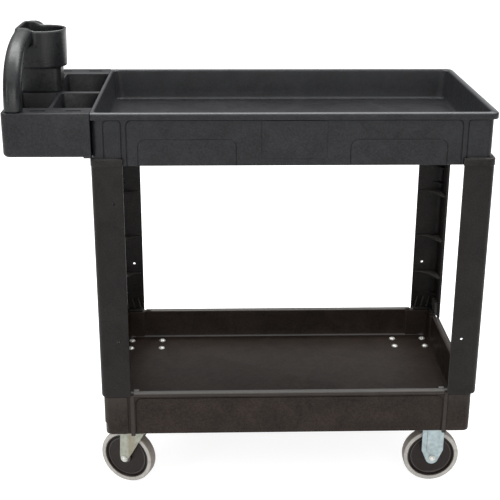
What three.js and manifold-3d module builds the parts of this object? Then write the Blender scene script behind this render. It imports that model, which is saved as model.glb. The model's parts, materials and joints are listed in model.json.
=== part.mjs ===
// A two-shelf rolling utility cart: two open trays on four channel legs, a tool console with a
// push handle at the -X end, two swivel casters under the handle end and two rigid casters at +X.
// Millimetres, +Z up. The origin is on the floor under the middle of the cart's overall box.

import * as THREE from 'three';
import { mergeVertices } from 'three/addons/utils/BufferGeometryUtils.js';
import Module from 'manifold-3d';

const wasm = await Module();
wasm.setup();

// ---- driving dimensions ----------------------------------------------------------------------

const LENGTH = 991;
const WIDTH = 476;
const X_END = LENGTH / 2;
const Y_SIDE = WIDTH / 2;

const GAP = 0.3;             // clearance between pieces that rest on each other
const WALL = 6;              // moulded wall thickness

const TRAY_X = -319.5;       // console side of the upper tray's dividing wall
const DIVIDER = 7;           // thickness of that wall
const LIP_LEFT_X = -316.5;   // the front and rear lips start here
const RIM_Z = 877;           // top of the upper tray's rim
const LIP_DROP = 14;         // height of the rim's lip
const LIP_OVERHANG = 8;      // how far the lip stands out from the wall
const UPPER_SKIRT_Z = 768;
const UPPER_FLOOR_Z = 808;
const CORNER_R = 14;

const LOWER_RIM_Z = 258;
const LOWER_FLOOR_Z = 186.5;
const LOWER_SKIRT_Z = 157.3;
const LOWER_X0 = -318;       // handle end of the lower tray's corner blocks
const LOWER_X1 = 485.5;      // far end of the lower tray's corner blocks
const LOWER_FRONT_INSET = 8; // lower tray's long walls stand this far in from the legs' faces

const LEG_X0 = -323.5;       // outer face of the handle-end legs
const LEG_WIDTH = 66;
const LEG_DEPTH = 68;
const LEG_R = 15;
const LEG_BOTTOM_Z = 250;
const LEG_TOP_Z = 783;
const TONGUE = { inner: 12, outer: 17, reach: 60, bottom: 197, shelf: 258.6 };

const CONSOLE_BOTTOM_Z = 787;
const CONSOLE_FLOOR_Z = 800;
const HANDLE_BASE_Z = RIM_Z + GAP;

const WHEEL_R = 63.5;
const HUB_R = 53.8;
const WHEEL_HALF = 12.5;
const CASTER_TOP_Z = 157;
const PLATE_T = 4;
const TRAIL = 28;            // swivel axis to axle, seen from above
const CASTER_Y = Y_SIDE - 71.3;
const SWIVEL_X = -250.2;
const RIGID_X = 417.2;
const BOLT_X = 38.5;         // half of the mounting hole spacing along X
const BOLT_Y = 22.25;        // half of the mounting hole spacing along Y
const BOLT_SEAT = { radius: 9.5, height: 0.6 }; // raised seat under each mounting bolt's head
const FRONT_SWIVEL_TURN = -23;
const REAR_SWIVEL_TURN = -14;

// ---- materials -------------------------------------------------------------------------------

const material = (color, roughness, metalness) =>
  new THREE.MeshStandardMaterial({ color, roughness, metalness });

const foamPlastic = material(0x333336, 0.62, 0);
const legPlastic = material(0x3a3938, 0.6, 0);
const hubPlastic = material(0x2f2c2b, 0.55, 0);
const tyreRubber = material(0xa09a94, 0.7, 0);
const zincSteel = material(0xc3ccce, 0.35, 0.9);
const boltSteel = material(0xc9c9c6, 0.3, 0.9);

// ---- solids ----------------------------------------------------------------------------------

function toSolid(geometry) {
  const bare = geometry.clone();
  bare.deleteAttribute('normal');
  bare.deleteAttribute('uv');
  const merged = mergeVertices(bare, 1e-4);
  return new wasm.Manifold(new wasm.Mesh({
    numProp: 3,
    vertProperties: new Float32Array(merged.attributes.position.array),
    triVerts: new Uint32Array(merged.index.array),
  }));
}

function toGeometry(solid) {
  const { vertProperties, triVerts } = solid.getMesh();
  const geometry = new THREE.BufferGeometry();
  geometry.setAttribute('position', new THREE.BufferAttribute(new Float32Array(vertProperties), 3));
  geometry.setIndex(new THREE.BufferAttribute(new Uint32Array(triVerts), 1));
  return geometry;
}

const union = (...solids) => solids.reduce((whole, solid) => whole.add(solid));
const cut = (body, ...tools) => tools.reduce((rest, tool) => rest.subtract(tool), body);

function box(x0, x1, y0, y1, z0, z1) {
  const geometry = new THREE.BoxGeometry(x1 - x0, y1 - y0, z1 - z0);
  geometry.translate((x0 + x1) / 2, (y0 + y1) / 2, (z0 + z1) / 2);
  return toSolid(geometry);
}

// A cylinder along 'x', 'y' or 'z', centred on the given point.
function rod(axis, radius, length, centre, sides = 20) {
  const geometry = new THREE.CylinderGeometry(radius, radius, length, sides);
  if (axis === 'x') geometry.rotateZ(Math.PI / 2);
  if (axis === 'z') geometry.rotateX(Math.PI / 2);
  geometry.translate(...centre);
  return toSolid(geometry);
}

// A turned shape: the profile lists [radius, height] and closes on itself or on the axis.
function turned(profile, sides = 20) {
  const points = profile.map(([r, h]) => new THREE.Vector2(r, h));
  const geometry = new THREE.LatheGeometry(points, sides);
  geometry.rotateX(Math.PI / 2);
  return toSolid(geometry);
}

// A rectangle with four corner radii: x0y0, x1y0, x1y1, x0y1.
function roundedRect(x0, x1, y0, y1, radii) {
  const [a, b, c, d] = Array.isArray(radii) ? radii : [radii, radii, radii, radii];
  const shape = new THREE.Shape();
  shape.moveTo(x0 + a, y0);
  shape.lineTo(x1 - b, y0);
  shape.absarc(x1 - b, y0 + b, b, -Math.PI / 2, 0, false);
  shape.lineTo(x1, y1 - c);
  shape.absarc(x1 - c, y1 - c, c, 0, Math.PI / 2, false);
  shape.lineTo(x0 + d, y1);
  shape.absarc(x0 + d, y1 - d, d, Math.PI / 2, Math.PI, false);
  shape.lineTo(x0, y0 + a);
  shape.absarc(x0 + a, y0 + a, a, Math.PI, 1.5 * Math.PI, false);
  return shape;
}

// The counter-clockwise points of a shape, without a repeated end point.
function outline(shape, segments) {
  const points = shape.getPoints(segments);
  if (points[0].distanceTo(points[points.length - 1]) < 1e-6) points.pop();
  return THREE.ShapeUtils.isClockWise(points) ? points.reverse() : points;
}

// A closed body through outlines of equal point count, listed as [z, shape] from the bottom up.
function loft(levels, segments = 2) {
  const rings = levels.map(([, shape]) => outline(shape, segments));
  const count = rings[0].length;
  const positions = [];
  rings.forEach((ring, level) => ring.forEach((p) => positions.push(p.x, p.y, levels[level][0])));
  const index = [];
  for (let level = 0; level < rings.length - 1; level += 1) {
    for (let i = 0; i < count; i += 1) {
      const a = level * count + i;
      const b = level * count + ((i + 1) % count);
      index.push(a, b, b + count, a, b + count, a + count);
    }
  }
  const top = (rings.length - 1) * count;
  THREE.ShapeUtils.triangulateShape(rings[0], []).forEach(([a, b, c]) => index.push(a, c, b));
  THREE.ShapeUtils.triangulateShape(rings[rings.length - 1], [])
    .forEach(([a, b, c]) => index.push(top + a, top + b, top + c));
  const geometry = new THREE.BufferGeometry();
  geometry.setAttribute('position', new THREE.Float32BufferAttribute(positions, 3));
  geometry.setIndex(index);
  return toSolid(geometry);
}

const prism = (shape, z0, z1, segments = 1) => loft([[z0, shape], [z1, shape]], segments);

// A flat outline drawn in X and Z, given thickness along Y.
function plateXZ(shape, y0, y1, segments = 1) {
  const geometry = toGeometry(prism(shape, -y1, -y0, segments));
  geometry.rotateX(Math.PI / 2);
  return toSolid(geometry);
}

function polygon(points) {
  const shape = new THREE.Shape();
  shape.setFromPoints(points.map(([x, y]) => new THREE.Vector2(x, y)));
  return shape;
}

// A copy reflected in X and/or Y and moved, with its faces still pointing out.
function placed(solid, signX, signY, x, y) {
  const geometry = toGeometry(solid);
  geometry.scale(signX, signY, 1);
  if (signX * signY < 0) {
    const index = geometry.index.array;
    for (let i = 0; i < index.length; i += 3) [index[i], index[i + 1]] = [index[i + 1], index[i]];
  }
  geometry.translate(x, y, 0);
  return geometry;
}

const cart = new THREE.Group();

function addMesh(name, shape, finish, parent = cart) {
  const geometry = shape.isBufferGeometry ? shape : toGeometry(shape);
  const mesh = new THREE.Mesh(geometry, finish);
  mesh.name = name;
  parent.add(mesh);
  return mesh;
}

const CORNERS = [
  { name: 'front_left', right: false, rear: false },
  { name: 'front_right', right: true, rear: false },
  { name: 'rear_left', right: false, rear: true },
  { name: 'rear_right', right: true, rear: true },
];

// Outer corner of a leg, and the signs that turn the first leg into this one.
function legCorner({ right, rear }) {
  return {
    x: right ? X_END : LEG_X0,
    y: rear ? Y_SIDE : -Y_SIDE,
    signX: right ? -1 : 1,
    signY: rear ? -1 : 1,
  };
}

// ---- upper tray ------------------------------------------------------------------------------

// The thick skirt corner that a leg's collar wraps and its post stands behind.
function skirtPad(corner) {
  const { x, y, signX, signY } = legCorner(corner);
  const inset = WALL + GAP;
  const xs = [x + signX * inset, x + signX * (LEG_WIDTH - 6)].sort((a, b) => a - b);
  const ys = [y + signY * inset, y + signY * (LEG_DEPTH - 6)].sort((a, b) => a - b);
  return prism(roundedRect(xs[0], xs[1], ys[0], ys[1], LEG_R - inset), UPPER_SKIRT_Z, LEG_TOP_Z + 2);
}

function upperTray() {
  const wall = LIP_OVERHANG;
  const skirt = roundedRect(TRAY_X, X_END - wall, -Y_SIDE + wall, Y_SIDE - wall, CORNER_R);
  const lip = (inset) => roundedRect(
    LIP_LEFT_X, X_END - inset, -Y_SIDE + inset, Y_SIDE - inset,
    [3, 17 - inset, 17 - inset, 3],
  );
  const hollow = (inset) => roundedRect(
    TRAY_X + DIVIDER + inset - 14, X_END - inset, -Y_SIDE + inset, Y_SIDE - inset, CORNER_R,
  );
  const body = union(
    prism(skirt, UPPER_SKIRT_Z, RIM_Z, 2),
    loft([
      [RIM_Z - LIP_DROP, lip(2)],
      [RIM_Z - LIP_DROP + 2.5, lip(0)],
      [RIM_Z - 3, lip(0)],
      [RIM_Z - 0.8, lip(0.9)],
      [RIM_Z, lip(3)],
    ]),
    ...CORNERS.map(skirtPad),
  );
  const inside = loft([
    [UPPER_FLOOR_Z, hollow(20)],
    [UPPER_FLOOR_Z + 2, hollow(17.6)],
    [RIM_Z - 2.5, hollow(14)],
    [RIM_Z + 1, hollow(11.5)],
  ]);
  const underside = prism(hollow(14), UPPER_SKIRT_Z - 1, UPPER_FLOOR_Z - WALL, 2);
  const legClearances = [-1, 1].map((side) => {
    const ys = [side * Y_SIDE, side * (Y_SIDE - LEG_DEPTH - 1)].sort((a, b) => a - b);
    return box(TRAY_X - 1, LEG_X0 + WALL + GAP, ys[0], ys[1], UPPER_SKIRT_Z - 1, LEG_TOP_Z + GAP);
  });
  return union(cut(body, inside, underside, ...legClearances, ...panelCuts()), ...floorRibs(
    UPPER_FLOOR_Z - 25, UPPER_FLOOR_Z - WALL + 1, TRAY_X + DIVIDER - 1, X_END - 13,
  ));
}

// Shallow recessed panels on both long walls: one wide one and one beside each leg.
function panelCuts() {
  const depth = 1.6;
  const top = RIM_Z - LIP_DROP - 1;
  const panels = [
    [-241, 395, 12],
    [-293, -267, 6],
    [442, 473, 6],
  ];
  return panels.flatMap(([x0, x1, r]) => [-1, 1].map((side) => {
    const face = side * (Y_SIDE - LIP_OVERHANG);
    const shape = roundedRect(x0, x1, UPPER_SKIRT_Z - 5, top, [0.5, 0.5, r, r]);
    return plateXZ(shape, Math.min(face, face - side * depth) - (side < 0 ? 1 : 0),
      Math.max(face, face - side * depth) + (side > 0 ? 1 : 0));
  }));
}

// Stiffening ribs under a floor, clear of the four leg posts.
function floorRibs(z0, z1, x0, x1) {
  const half = 2;
  const ribs = [-90, 90].map((y) => box(x0, x1, y - half, y + half, z0, z1));
  const crossways = [-150, 0, 150, 300];
  const edge = Y_SIDE - 13;
  return ribs.concat(crossways.map((x) => box(x - half, x + half, -edge, edge, z0, z1)));
}

// ---- lower tray ------------------------------------------------------------------------------

function cornerBlock(corner) {
  const { y, signX, signY } = legCorner(corner);
  const outer = corner.right ? LOWER_X1 : LOWER_X0;
  const xs = [outer, outer + signX * 52].sort((a, b) => a - b);
  const ys = [y + signY * 3, y + signY * 62].sort((a, b) => a - b);
  const at = (inset) => roundedRect(xs[0] + inset, xs[1] - inset, ys[0] + inset, ys[1] - inset,
    LEG_R - 3 - inset);
  return loft([
    [LOWER_SKIRT_Z, at(4)],
    [LOWER_SKIRT_Z + 4, at(0)],
    [LEG_BOTTOM_Z - GAP, at(0)],
  ], 1);
}

// The L-shaped slot in the rim's thick corner that takes a leg's tongue.
function tongueSlot(corner) {
  const { x, y, signX, signY } = legCorner(corner);
  const solid = prism(angleShape(TONGUE.inner - 0.4, TONGUE.outer + 0.4, TONGUE.reach + 0.4, 3),
    TONGUE.bottom - 0.5, LOWER_RIM_Z + 1);
  return toSolid(placed(solid, signX, signY, x, y));
}

// The thick inner corner around that slot.
function cornerPost(corner) {
  const { x, y, signX, signY } = legCorner(corner);
  const solid = prism(angleShape(TONGUE.inner - 2, TONGUE.outer + 8, TONGUE.reach + 6, 8, 5),
    LOWER_FLOOR_Z - 3, LOWER_RIM_Z - 1.5);
  return toSolid(placed(solid, signX, signY, x, y));
}

function lowerTray() {
  const inset = LOWER_FRONT_INSET;
  const rim = (extra, side) => roundedRect(
    LOWER_X0 + 1 + extra - side, LOWER_X1 - 1 - extra + side,
    -Y_SIDE + inset + extra, Y_SIDE - inset - extra, CORNER_R,
  );
  const hollow = (extra) => roundedRect(
    LOWER_X0 + 12 + extra, LOWER_X1 - 10.5 - extra,
    -Y_SIDE + inset + 10.5 + extra, Y_SIDE - inset - 12 - extra, CORNER_R + 4,
  );
  const legReach = LEG_DEPTH + 0.6;
  const sideRims = [-1, 1].map((side) => {
    const x = side < 0 ? LOWER_X0 + 2 : LOWER_X1 - 2;
    const reach = x + side * 9;
    return loft([LOWER_RIM_Z - 14, LOWER_RIM_Z - 11, LOWER_RIM_Z - 3, LOWER_RIM_Z - 0.5].map(
      (z, i) => {
        const back = [7, 0, 0, 2.5][i];
        const xs = [x - side * 6, reach - side * back].sort((a, b) => a - b);
        return [z, roundedRect(xs[0], xs[1], -Y_SIDE + legReach, Y_SIDE - legReach, 2)];
      },
    ), 1);
  });
  const body = union(
    loft([
      [LOWER_SKIRT_Z, rim(0.8, 0)],
      [LOWER_RIM_Z - 3, rim(0, 0)],
      [LOWER_RIM_Z - 0.9, rim(0.9, 0)],
      [LOWER_RIM_Z, rim(3, 0)],
    ]),
    ...sideRims,
    ...CORNERS.map(cornerBlock),
    ...wallRibs(),
  );
  const inside = loft([
    [LOWER_FLOOR_Z, hollow(5)],
    [LOWER_FLOOR_Z + 2, hollow(2.8)],
    [LOWER_RIM_Z - 2.5, hollow(0)],
    [LOWER_RIM_Z + 1, hollow(-2.4)],
  ]);
  const underside = prism(roundedRect(
    LOWER_X0 + 7, LOWER_X1 - 7, -Y_SIDE + 15, Y_SIDE - 15, CORNER_R - 4,
  ), LOWER_SKIRT_Z - 1, LOWER_FLOOR_Z - WALL);
  const shell = union(
    cut(body, inside, underside),
    ...CORNERS.map(cornerPost),
    ...casterPads(),
    ...boltSeats(),
  );
  return cut(shell, ...CORNERS.map(tongueSlot), ...casterHoles());
}

// Upright ribs on the long walls beside the legs, with feet just below the skirt.
function wallRibs() {
  return [-258.5, 428].flatMap((x) => [-1, 1].map((side) => {
    const y0 = side * (Y_SIDE - 6);
    const y1 = side * (Y_SIDE - 16);
    return prism(roundedRect(x - 6.5, x + 6.5, Math.min(y0, y1), Math.max(y0, y1), 1.5),
      LOWER_SKIRT_Z - 5, LOWER_RIM_Z - 4);
  }));
}

const CASTERS = [
  { name: 'front_swivel', x: SWIVEL_X, y: -CASTER_Y, turn: FRONT_SWIVEL_TURN },
  { name: 'rear_swivel', x: SWIVEL_X, y: CASTER_Y, turn: REAR_SWIVEL_TURN },
  { name: 'front_rigid', x: RIGID_X, y: -CASTER_Y },
  { name: 'rear_rigid', x: RIGID_X, y: CASTER_Y },
];

function casterPads() {
  return CASTERS.map(({ x, y }) => prism(
    roundedRect(x - 50, x + 50, y - 34, y + 34, 8), LOWER_SKIRT_Z, LOWER_FLOOR_Z - WALL + 1,
  ));
}

const boltSpots = ({ x, y }) => [-1, 1].flatMap(
  (sy) => [-1, 1].map((sx) => [x + sx * BOLT_X, y + sy * BOLT_Y]),
);

function boltSeats() {
  return CASTERS.flatMap(boltSpots).map(([x, y]) => rod(
    'z', BOLT_SEAT.radius, 2 * BOLT_SEAT.height, [x, y, LOWER_FLOOR_Z], 16,
  ));
}

function casterHoles() {
  return CASTERS.flatMap((caster) => [
    rod('z', 16, 12, [caster.x, caster.y, LOWER_SKIRT_Z + 5], 16),
    ...boltSpots(caster).map(([x, y]) => rod('z', 4.5, 60, [x, y, LOWER_FLOOR_Z - 15], 8)),
  ]);
}

// ---- legs ------------------------------------------------------------------------------------

// An angle section with its outer corner towards the origin, from inset a to inset b.
function angleShape(a, b, reach, radius, endRadius = 0) {
  const shape = new THREE.Shape();
  shape.moveTo(reach, a);
  shape.lineTo(reach, b - endRadius);
  if (endRadius) shape.absarc(reach - endRadius, b - endRadius, endRadius, 0, Math.PI / 2, false);
  const inner = Math.max(radius - (b - a), 1);
  shape.lineTo(b + inner, b);
  shape.absarc(b + inner, b + inner, inner, 1.5 * Math.PI, Math.PI, true);
  shape.lineTo(b, reach - endRadius);
  if (endRadius) shape.absarc(b - endRadius, reach - endRadius, endRadius, 0, Math.PI / 2, false);
  shape.lineTo(a, reach);
  shape.lineTo(a, a + radius);
  shape.absarc(a + radius, a + radius, radius, Math.PI, 1.5 * Math.PI, false);
  return shape;
}

// A horizontal web across the channel, with a hollowed free edge.
function web(z, reach, thickness) {
  const shape = new THREE.Shape();
  shape.moveTo(WALL - 1, WALL - 1);
  shape.lineTo(reach, WALL - 1);
  shape.lineTo(reach, WALL + 3);
  shape.quadraticCurveTo(reach * 0.42, reach * 0.42, WALL + 3, reach);
  shape.lineTo(WALL - 1, reach);
  return prism(shape, z, z + thickness, 3);
}

// Upright fins on the inside faces of the channel, just above the lower tray's rim.
function legFins() {
  const fin = (u) => polygon([
    [u, TONGUE.shelf], [u + 3, TONGUE.shelf], [u - 4, TONGUE.shelf + 30], [u - 7, TONGUE.shelf + 30],
  ]);
  const onLongWall = [26, 41, 56].map((u) => plateXZ(fin(u), WALL - 1, WALL + 9));
  const onEndWall = [28, 44, 60].map((u) => {
    const geometry = toGeometry(plateXZ(fin(u), -WALL - 9, -WALL + 1));
    geometry.rotateZ(Math.PI / 2);
    return toSolid(geometry);
  });
  return [...onLongWall, ...onEndWall];
}

function leg() {
  const channel = new THREE.Shape();
  channel.moveTo(LEG_WIDTH, 0);
  channel.lineTo(LEG_WIDTH, WALL);
  channel.lineTo(LEG_R, WALL);
  channel.absarc(LEG_R, LEG_R, LEG_R - WALL, 1.5 * Math.PI, Math.PI, true);
  channel.lineTo(WALL, LEG_DEPTH);
  channel.lineTo(0, LEG_DEPTH);
  channel.lineTo(0, LEG_R);
  channel.absarc(LEG_R, LEG_R, LEG_R, Math.PI, 1.5 * Math.PI, false);
  const post = cut(
    prism(roundedRect(17, 57, 17, 57, 6), 696, UPPER_FLOOR_Z - WALL - 2),
    prism(roundedRect(21, 53, 21, 53, 3), 695, UPPER_FLOOR_Z - WALL - 6),
  );
  const body = union(
    prism(channel, LEG_BOTTOM_Z, LEG_TOP_Z),
    web(571, 60, 4),
    web(453, 60, 4),
    web(355, 60, 4),
    web(696, 60, 4),
    web(634, 30, 2.5),
    web(594, 30, 2.5),
    web(300, 30, 2.5),
    post,
    prism(angleShape(WALL - 1, 24, TONGUE.reach + 2, 8), TONGUE.shelf, TONGUE.shelf + 4),
    prism(angleShape(TONGUE.inner, TONGUE.outer, TONGUE.reach, 3), TONGUE.bottom, TONGUE.shelf + 2),
    ...legFins(),
  );
  return cut(
    body,
    rod('y', 2.2, 30, [45, 0, 691], 10),
    rod('y', 3, 30, [43, 0, 383], 10),
  );
}

// ---- handle console and push handle -----------------------------------------------------------

const CONSOLE_X0 = -X_END;
const CONSOLE_X1 = TRAY_X - GAP;
const FLANGE = 53;                      // depth of the flat shelves at both ends
const COLUMN = { x1: CONSOLE_X0 + 95, halfWidth: 32 };
const DIVIDE_X = CONSOLE_X0 + 93;       // wall between the two front compartments
const HANDLE_X = CONSOLE_X0 + 24.3;     // plane of the arch
const ARCH_HALF_SPAN = 215;
const ARCH_HALF = 18;                   // half the width of the arch's section
const ARCH_POWER = 2 / 2.65;            // squareness of the bow
const CUP = { x0: CONSOLE_X0 + 8.5, x1: CONSOLE_X0 + 106.5, halfWidth: 52, rim: 1009, ledge: 932 };
const CROWN_Z = 999.6;                 // middle of the arch's section at its crown

const COMPARTMENTS = [
  { x0: CONSOLE_X0 + 12, x1: DIVIDE_X - 4, y0: -Y_SIDE + FLANGE, y1: -43 },
  { x0: DIVIDE_X + 4, x1: CONSOLE_X1 + 2, y0: -Y_SIDE + FLANGE, y1: -43 },
  { x0: CONSOLE_X0 + 91, x1: CONSOLE_X1 + 2, y0: -24, y1: 50 },
  { x0: CONSOLE_X0 + 81, x1: CONSOLE_X1 + 2, y0: 43, y1: Y_SIDE - FLANGE - 11 },
  { x0: CONSOLE_X0 + 12, x1: CONSOLE_X0 + 75, y0: 43, y1: Y_SIDE - FLANGE - 11 },
];

const consoleScrews = [-128, -38, 38, 128].map((y) => [TRAY_X, y, 794.8]);
const handleScrews = [-1, 1].map((side) => [HANDLE_X, side * ARCH_HALF_SPAN]);

function handleConsole() {
  const outer = (inset) => roundedRect(
    CONSOLE_X0 + inset, CONSOLE_X1, -Y_SIDE + inset, Y_SIDE - inset, [16, 0.5, 0.5, 16],
  );
  const body = loft([
    [CONSOLE_BOTTOM_Z, outer(5)],
    [CONSOLE_BOTTOM_Z + 2, outer(2)],
    [CONSOLE_BOTTOM_Z + 7, outer(0)],
    [RIM_Z - 2, outer(0)],
    [RIM_Z, outer(1.5)],
  ]);
  const inner = prism(roundedRect(
    CONSOLE_X0 + WALL, CONSOLE_X1 - WALL, -Y_SIDE + WALL, Y_SIDE - WALL, [10, 1, 1, 10],
  ), CONSOLE_BOTTOM_Z - 1, RIM_Z - WALL);
  const boxes = COMPARTMENTS.map(({ x0, x1, y0, y1 }) => box(
    x0 - 4, Math.min(x1, CONSOLE_X1), y0 - 4, y1 + 4, CONSOLE_FLOOR_Z - 4, RIM_Z - WALL + 1,
  ));
  const pockets = COMPARTMENTS.map(({ x0, x1, y0, y1 }) => {
    const right = x1 > CONSOLE_X1 ? 0.5 : 8;
    return prism(roundedRect(x0, x1, y0, y1, [8, right, right, 8]), CONSOLE_FLOOR_Z, RIM_Z + 1);
  });
  const slots = [-1, 1].flatMap((side) => [70.5, 142].map((x) => prism(
    roundedRect(CONSOLE_X0 + x - 15, CONSOLE_X0 + x + 15, side * 211.5 - 2, side * 211.5 + 2, 1.9),
    RIM_Z - WALL - 1, RIM_Z + 1,
  )));
  return cut(
    union(cut(body, inner), ...boxes),
    ...pockets,
    ...slots,
    ...consoleScrews.map(([x, y, z]) => rod('x', 2.4, 30, [x - 6, y, z], 10)),
    ...handleScrews.map(([x, y]) => rod('z', 2.9, 30, [x, y, RIM_Z - 3], 10)),
  );
}

// The middle line of the handle's arch, an almost elliptical bow in a plane across the cart.
class ArchCurve extends THREE.Curve {
  getPoint(t, target = new THREE.Vector3()) {
    const angle = Math.PI * (1 - t);
    const across = Math.sign(Math.cos(angle)) * Math.abs(Math.cos(angle)) ** ARCH_POWER;
    const up = Math.abs(Math.sin(angle)) ** ARCH_POWER;
    const base = HANDLE_BASE_Z - 6;
    return target.set(HANDLE_X, across * ARCH_HALF_SPAN, base + up * (CROWN_Z - base));
  }
}

function arch() {
  const section = roundedRect(-ARCH_HALF, ARCH_HALF, -ARCH_HALF, ARCH_HALF, 14);
  const geometry = new THREE.ExtrudeGeometry(section, {
    steps: 26, extrudePath: new ArchCurve(), curveSegments: 1, bevelEnabled: false,
  });
  const below = box(HANDLE_X - 60, HANDLE_X + 60, -Y_SIDE - 20, Y_SIDE + 20, 700, HANDLE_BASE_Z);
  return cut(toSolid(geometry), below);
}

// Plan of the tool cup: straight sides from the arch, round towards the tray.
function cupPlan(x0, x1, half, nose) {
  return roundedRect(x0, x1, -half, half, [3, nose, nose, 3]);
}

function pushHandle() {
  const outer = union(
    arch(),
    loft([
      [CUP.ledge - 4, cupPlan(CUP.x0, COLUMN.x1, COLUMN.halfWidth, 14)],
      [CUP.ledge + 3, cupPlan(CUP.x0, CUP.x1 - 1.5, CUP.halfWidth - 4, 42)],
      [CUP.rim, cupPlan(CUP.x0, CUP.x1, CUP.halfWidth, 46)],
    ], 3),
    prism(cupPlan(CUP.x0, COLUMN.x1, COLUMN.halfWidth, 14), HANDLE_BASE_Z, CUP.ledge, 3),
  );
  const cavity = loft([
    [CUP.ledge + 6, cupPlan(CONSOLE_X0 + 17, CUP.x1 - 7, CUP.halfWidth - 9, 37)],
    [CROWN_Z + 30, cupPlan(CONSOLE_X0 + 15.5, CUP.x1 - 5, CUP.halfWidth - 5, 41)],
  ], 3);
  const shaft = prism(
    cupPlan(CUP.x0 + 6, COLUMN.x1 - 6, COLUMN.halfWidth - 6, 9), HANDLE_BASE_Z + 8, CUP.ledge + 7,
  );
  return cut(outer, cavity, shaft,
    ...handleScrews.map(([x, y]) => rod('z', 2.4, 50, [x, y, HANDLE_BASE_Z], 10)));
}

// A screw along its own +Z from under its head, with a tapered head face.
function screw(shaftR, length, headR, headT) {
  return turned([
    [0, -headT], [headR * 0.7, -headT], [headR, 0], [shaftR, 0], [shaftR, length], [0, length],
  ], 10);
}

// ---- casters ---------------------------------------------------------------------------------

function casterBolt() {
  const top = LOWER_FLOOR_Z + BOLT_SEAT.height + GAP;
  const underPlate = CASTER_TOP_Z - PLATE_T - GAP;
  const shank = turned([
    [0, top + 4.8], [5, top + 3.8], [8, top], [4, top], [4, underPlate - 10], [0, underPlate - 10],
  ].reverse(), 8);
  return shank.add(prism(hexagon(7.5), underPlate - 7, underPlate));
}

function hexagon(radius) {
  const corners = [0, 1, 2, 3, 4, 5].map((i) => (i + 0.5) * (Math.PI / 3));
  return polygon(corners.map((angle) => [radius * Math.cos(angle), radius * Math.sin(angle)]));
}

const plateHoles = () => boltSpots({ x: 0, y: 0 })
  .map(([x, y]) => rod('z', 4.5, 20, [x, y, CASTER_TOP_Z], 8));

const plateBlank = () => prism(roundedRect(-46, 46, -30, 30, 7), CASTER_TOP_Z - PLATE_T, CASTER_TOP_Z);

const swivelPlate = () => cut(plateBlank(), rod('z', 6.4, 20, [0, 0, CASTER_TOP_Z], 12), ...plateHoles());

function swivelBearing() {
  const z0 = CASTER_TOP_Z - PLATE_T - GAP - 15;
  const z1 = CASTER_TOP_Z - PLATE_T - GAP;
  return turned([
    [6.4, z0], [25, z0], [28, z0 + 4], [28, z0 + 8], [23, z1], [6.4, z1], [6.4, z0],
  ], 16);
}

function kingpin() {
  const crown = CASTER_TOP_Z - PLATE_T - 2 * GAP - 15 - 4;
  return turned([
    [0, crown - 5.5], [7, crown - 5.5], [9.5, crown - GAP], [6, crown - GAP],
    [6, CASTER_TOP_Z + GAP], [9, CASTER_TOP_Z + GAP], [8, CASTER_TOP_Z + 3], [0, CASTER_TOP_Z + 3],
  ], 12);
}

// The outline of one fork arm, from the crown down to the axle behind the swivel axis.
function forkArm(top) {
  const shape = new THREE.Shape();
  shape.moveTo(22, top);
  shape.lineTo(-36, top);
  shape.lineTo(-TRAIL - 9.5, WHEEL_R + 1);
  shape.absarc(-TRAIL, WHEEL_R, 9.5, Math.PI, 1.9 * Math.PI, false);
  shape.lineTo(8, 113);
  shape.lineTo(22, top - 8);
  return shape;
}

function fork() {
  const top = CASTER_TOP_Z - PLATE_T - 2 * GAP - 15;
  const crown = union(
    prism(roundedRect(-36, 22, -22.5, 22.5, 3), top - 4, top),
    turned([[0, top - 4], [28, top - 4], [28, top], [0, top]], 24),
  );
  return cut(
    union(crown, plateXZ(forkArm(top), -22.5, -19.5, 3), plateXZ(forkArm(top), 19.5, 22.5, 3)),
    rod('z', 6.4, 20, [0, 0, top - 2], 12),
    rod('y', 5.3, 60, [-TRAIL, 0, WHEEL_R], 12),
  );
}

// The rigid caster's bracket: the mounting plate and two tapering arms in one pressing.
function rigidBracket() {
  const top = CASTER_TOP_Z - PLATE_T + 1;
  const arm = new THREE.Shape();
  arm.moveTo(24.5, top);
  arm.lineTo(-24.5, top);
  arm.lineTo(-24.5, 83);
  arm.absarc(0, WHEEL_R, 14.6, 1.18 * Math.PI, 1.82 * Math.PI, false);
  arm.lineTo(24.5, 83);
  return cut(
    union(plateBlank(), plateXZ(arm, -24, -21, 3), plateXZ(arm, 21, 24, 3)),
    rod('y', 5.3, 60, [0, 0, WHEEL_R], 12),
    ...plateHoles(),
  );
}

// A wheel piece turned about the Y axis through the origin.
function wheelPiece(profile, sides) {
  const geometry = toGeometry(turned(profile, sides));
  geometry.rotateX(Math.PI / 2);
  return geometry;
}

const tyre = () => wheelPiece([
  [HUB_R, -WHEEL_HALF], [WHEEL_R - 4, -WHEEL_HALF], [WHEEL_R, -WHEEL_HALF + 5],
  [WHEEL_R, WHEEL_HALF - 5], [WHEEL_R - 4, WHEEL_HALF], [HUB_R, WHEEL_HALF], [HUB_R, -WHEEL_HALF],
], 32);

function hub() {
  const edge = HUB_R - GAP;
  const side = [
    [8.6, 17.5], [13, 17.5], [15, 8], [46, 7], [49, WHEEL_HALF - 1], [edge, WHEEL_HALF - 1],
  ];
  const otherSide = side.map(([r, h]) => [r, -h]).reverse();
  return wheelPiece([...side, ...otherSide, side[0]].reverse(), 20);
}

const axleSleeve = (half) => wheelPiece([
  [5.3, -half], [8.2, -half], [8.2, half], [5.3, half], [5.3, -half],
], 12);

// The axle bolt lies along Y with its head towards -Y.
function axleBolt(armOut) {
  const head = toGeometry(prism(hexagon(7.6), armOut + GAP, armOut + 6));
  const shank = toGeometry(rod('z', 5, 2 * armOut + 12, [0, 0, -5], 12));
  const solid = toSolid(head).add(toSolid(shank));
  return toGeometry(solid).rotateX(Math.PI / 2);
}

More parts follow.
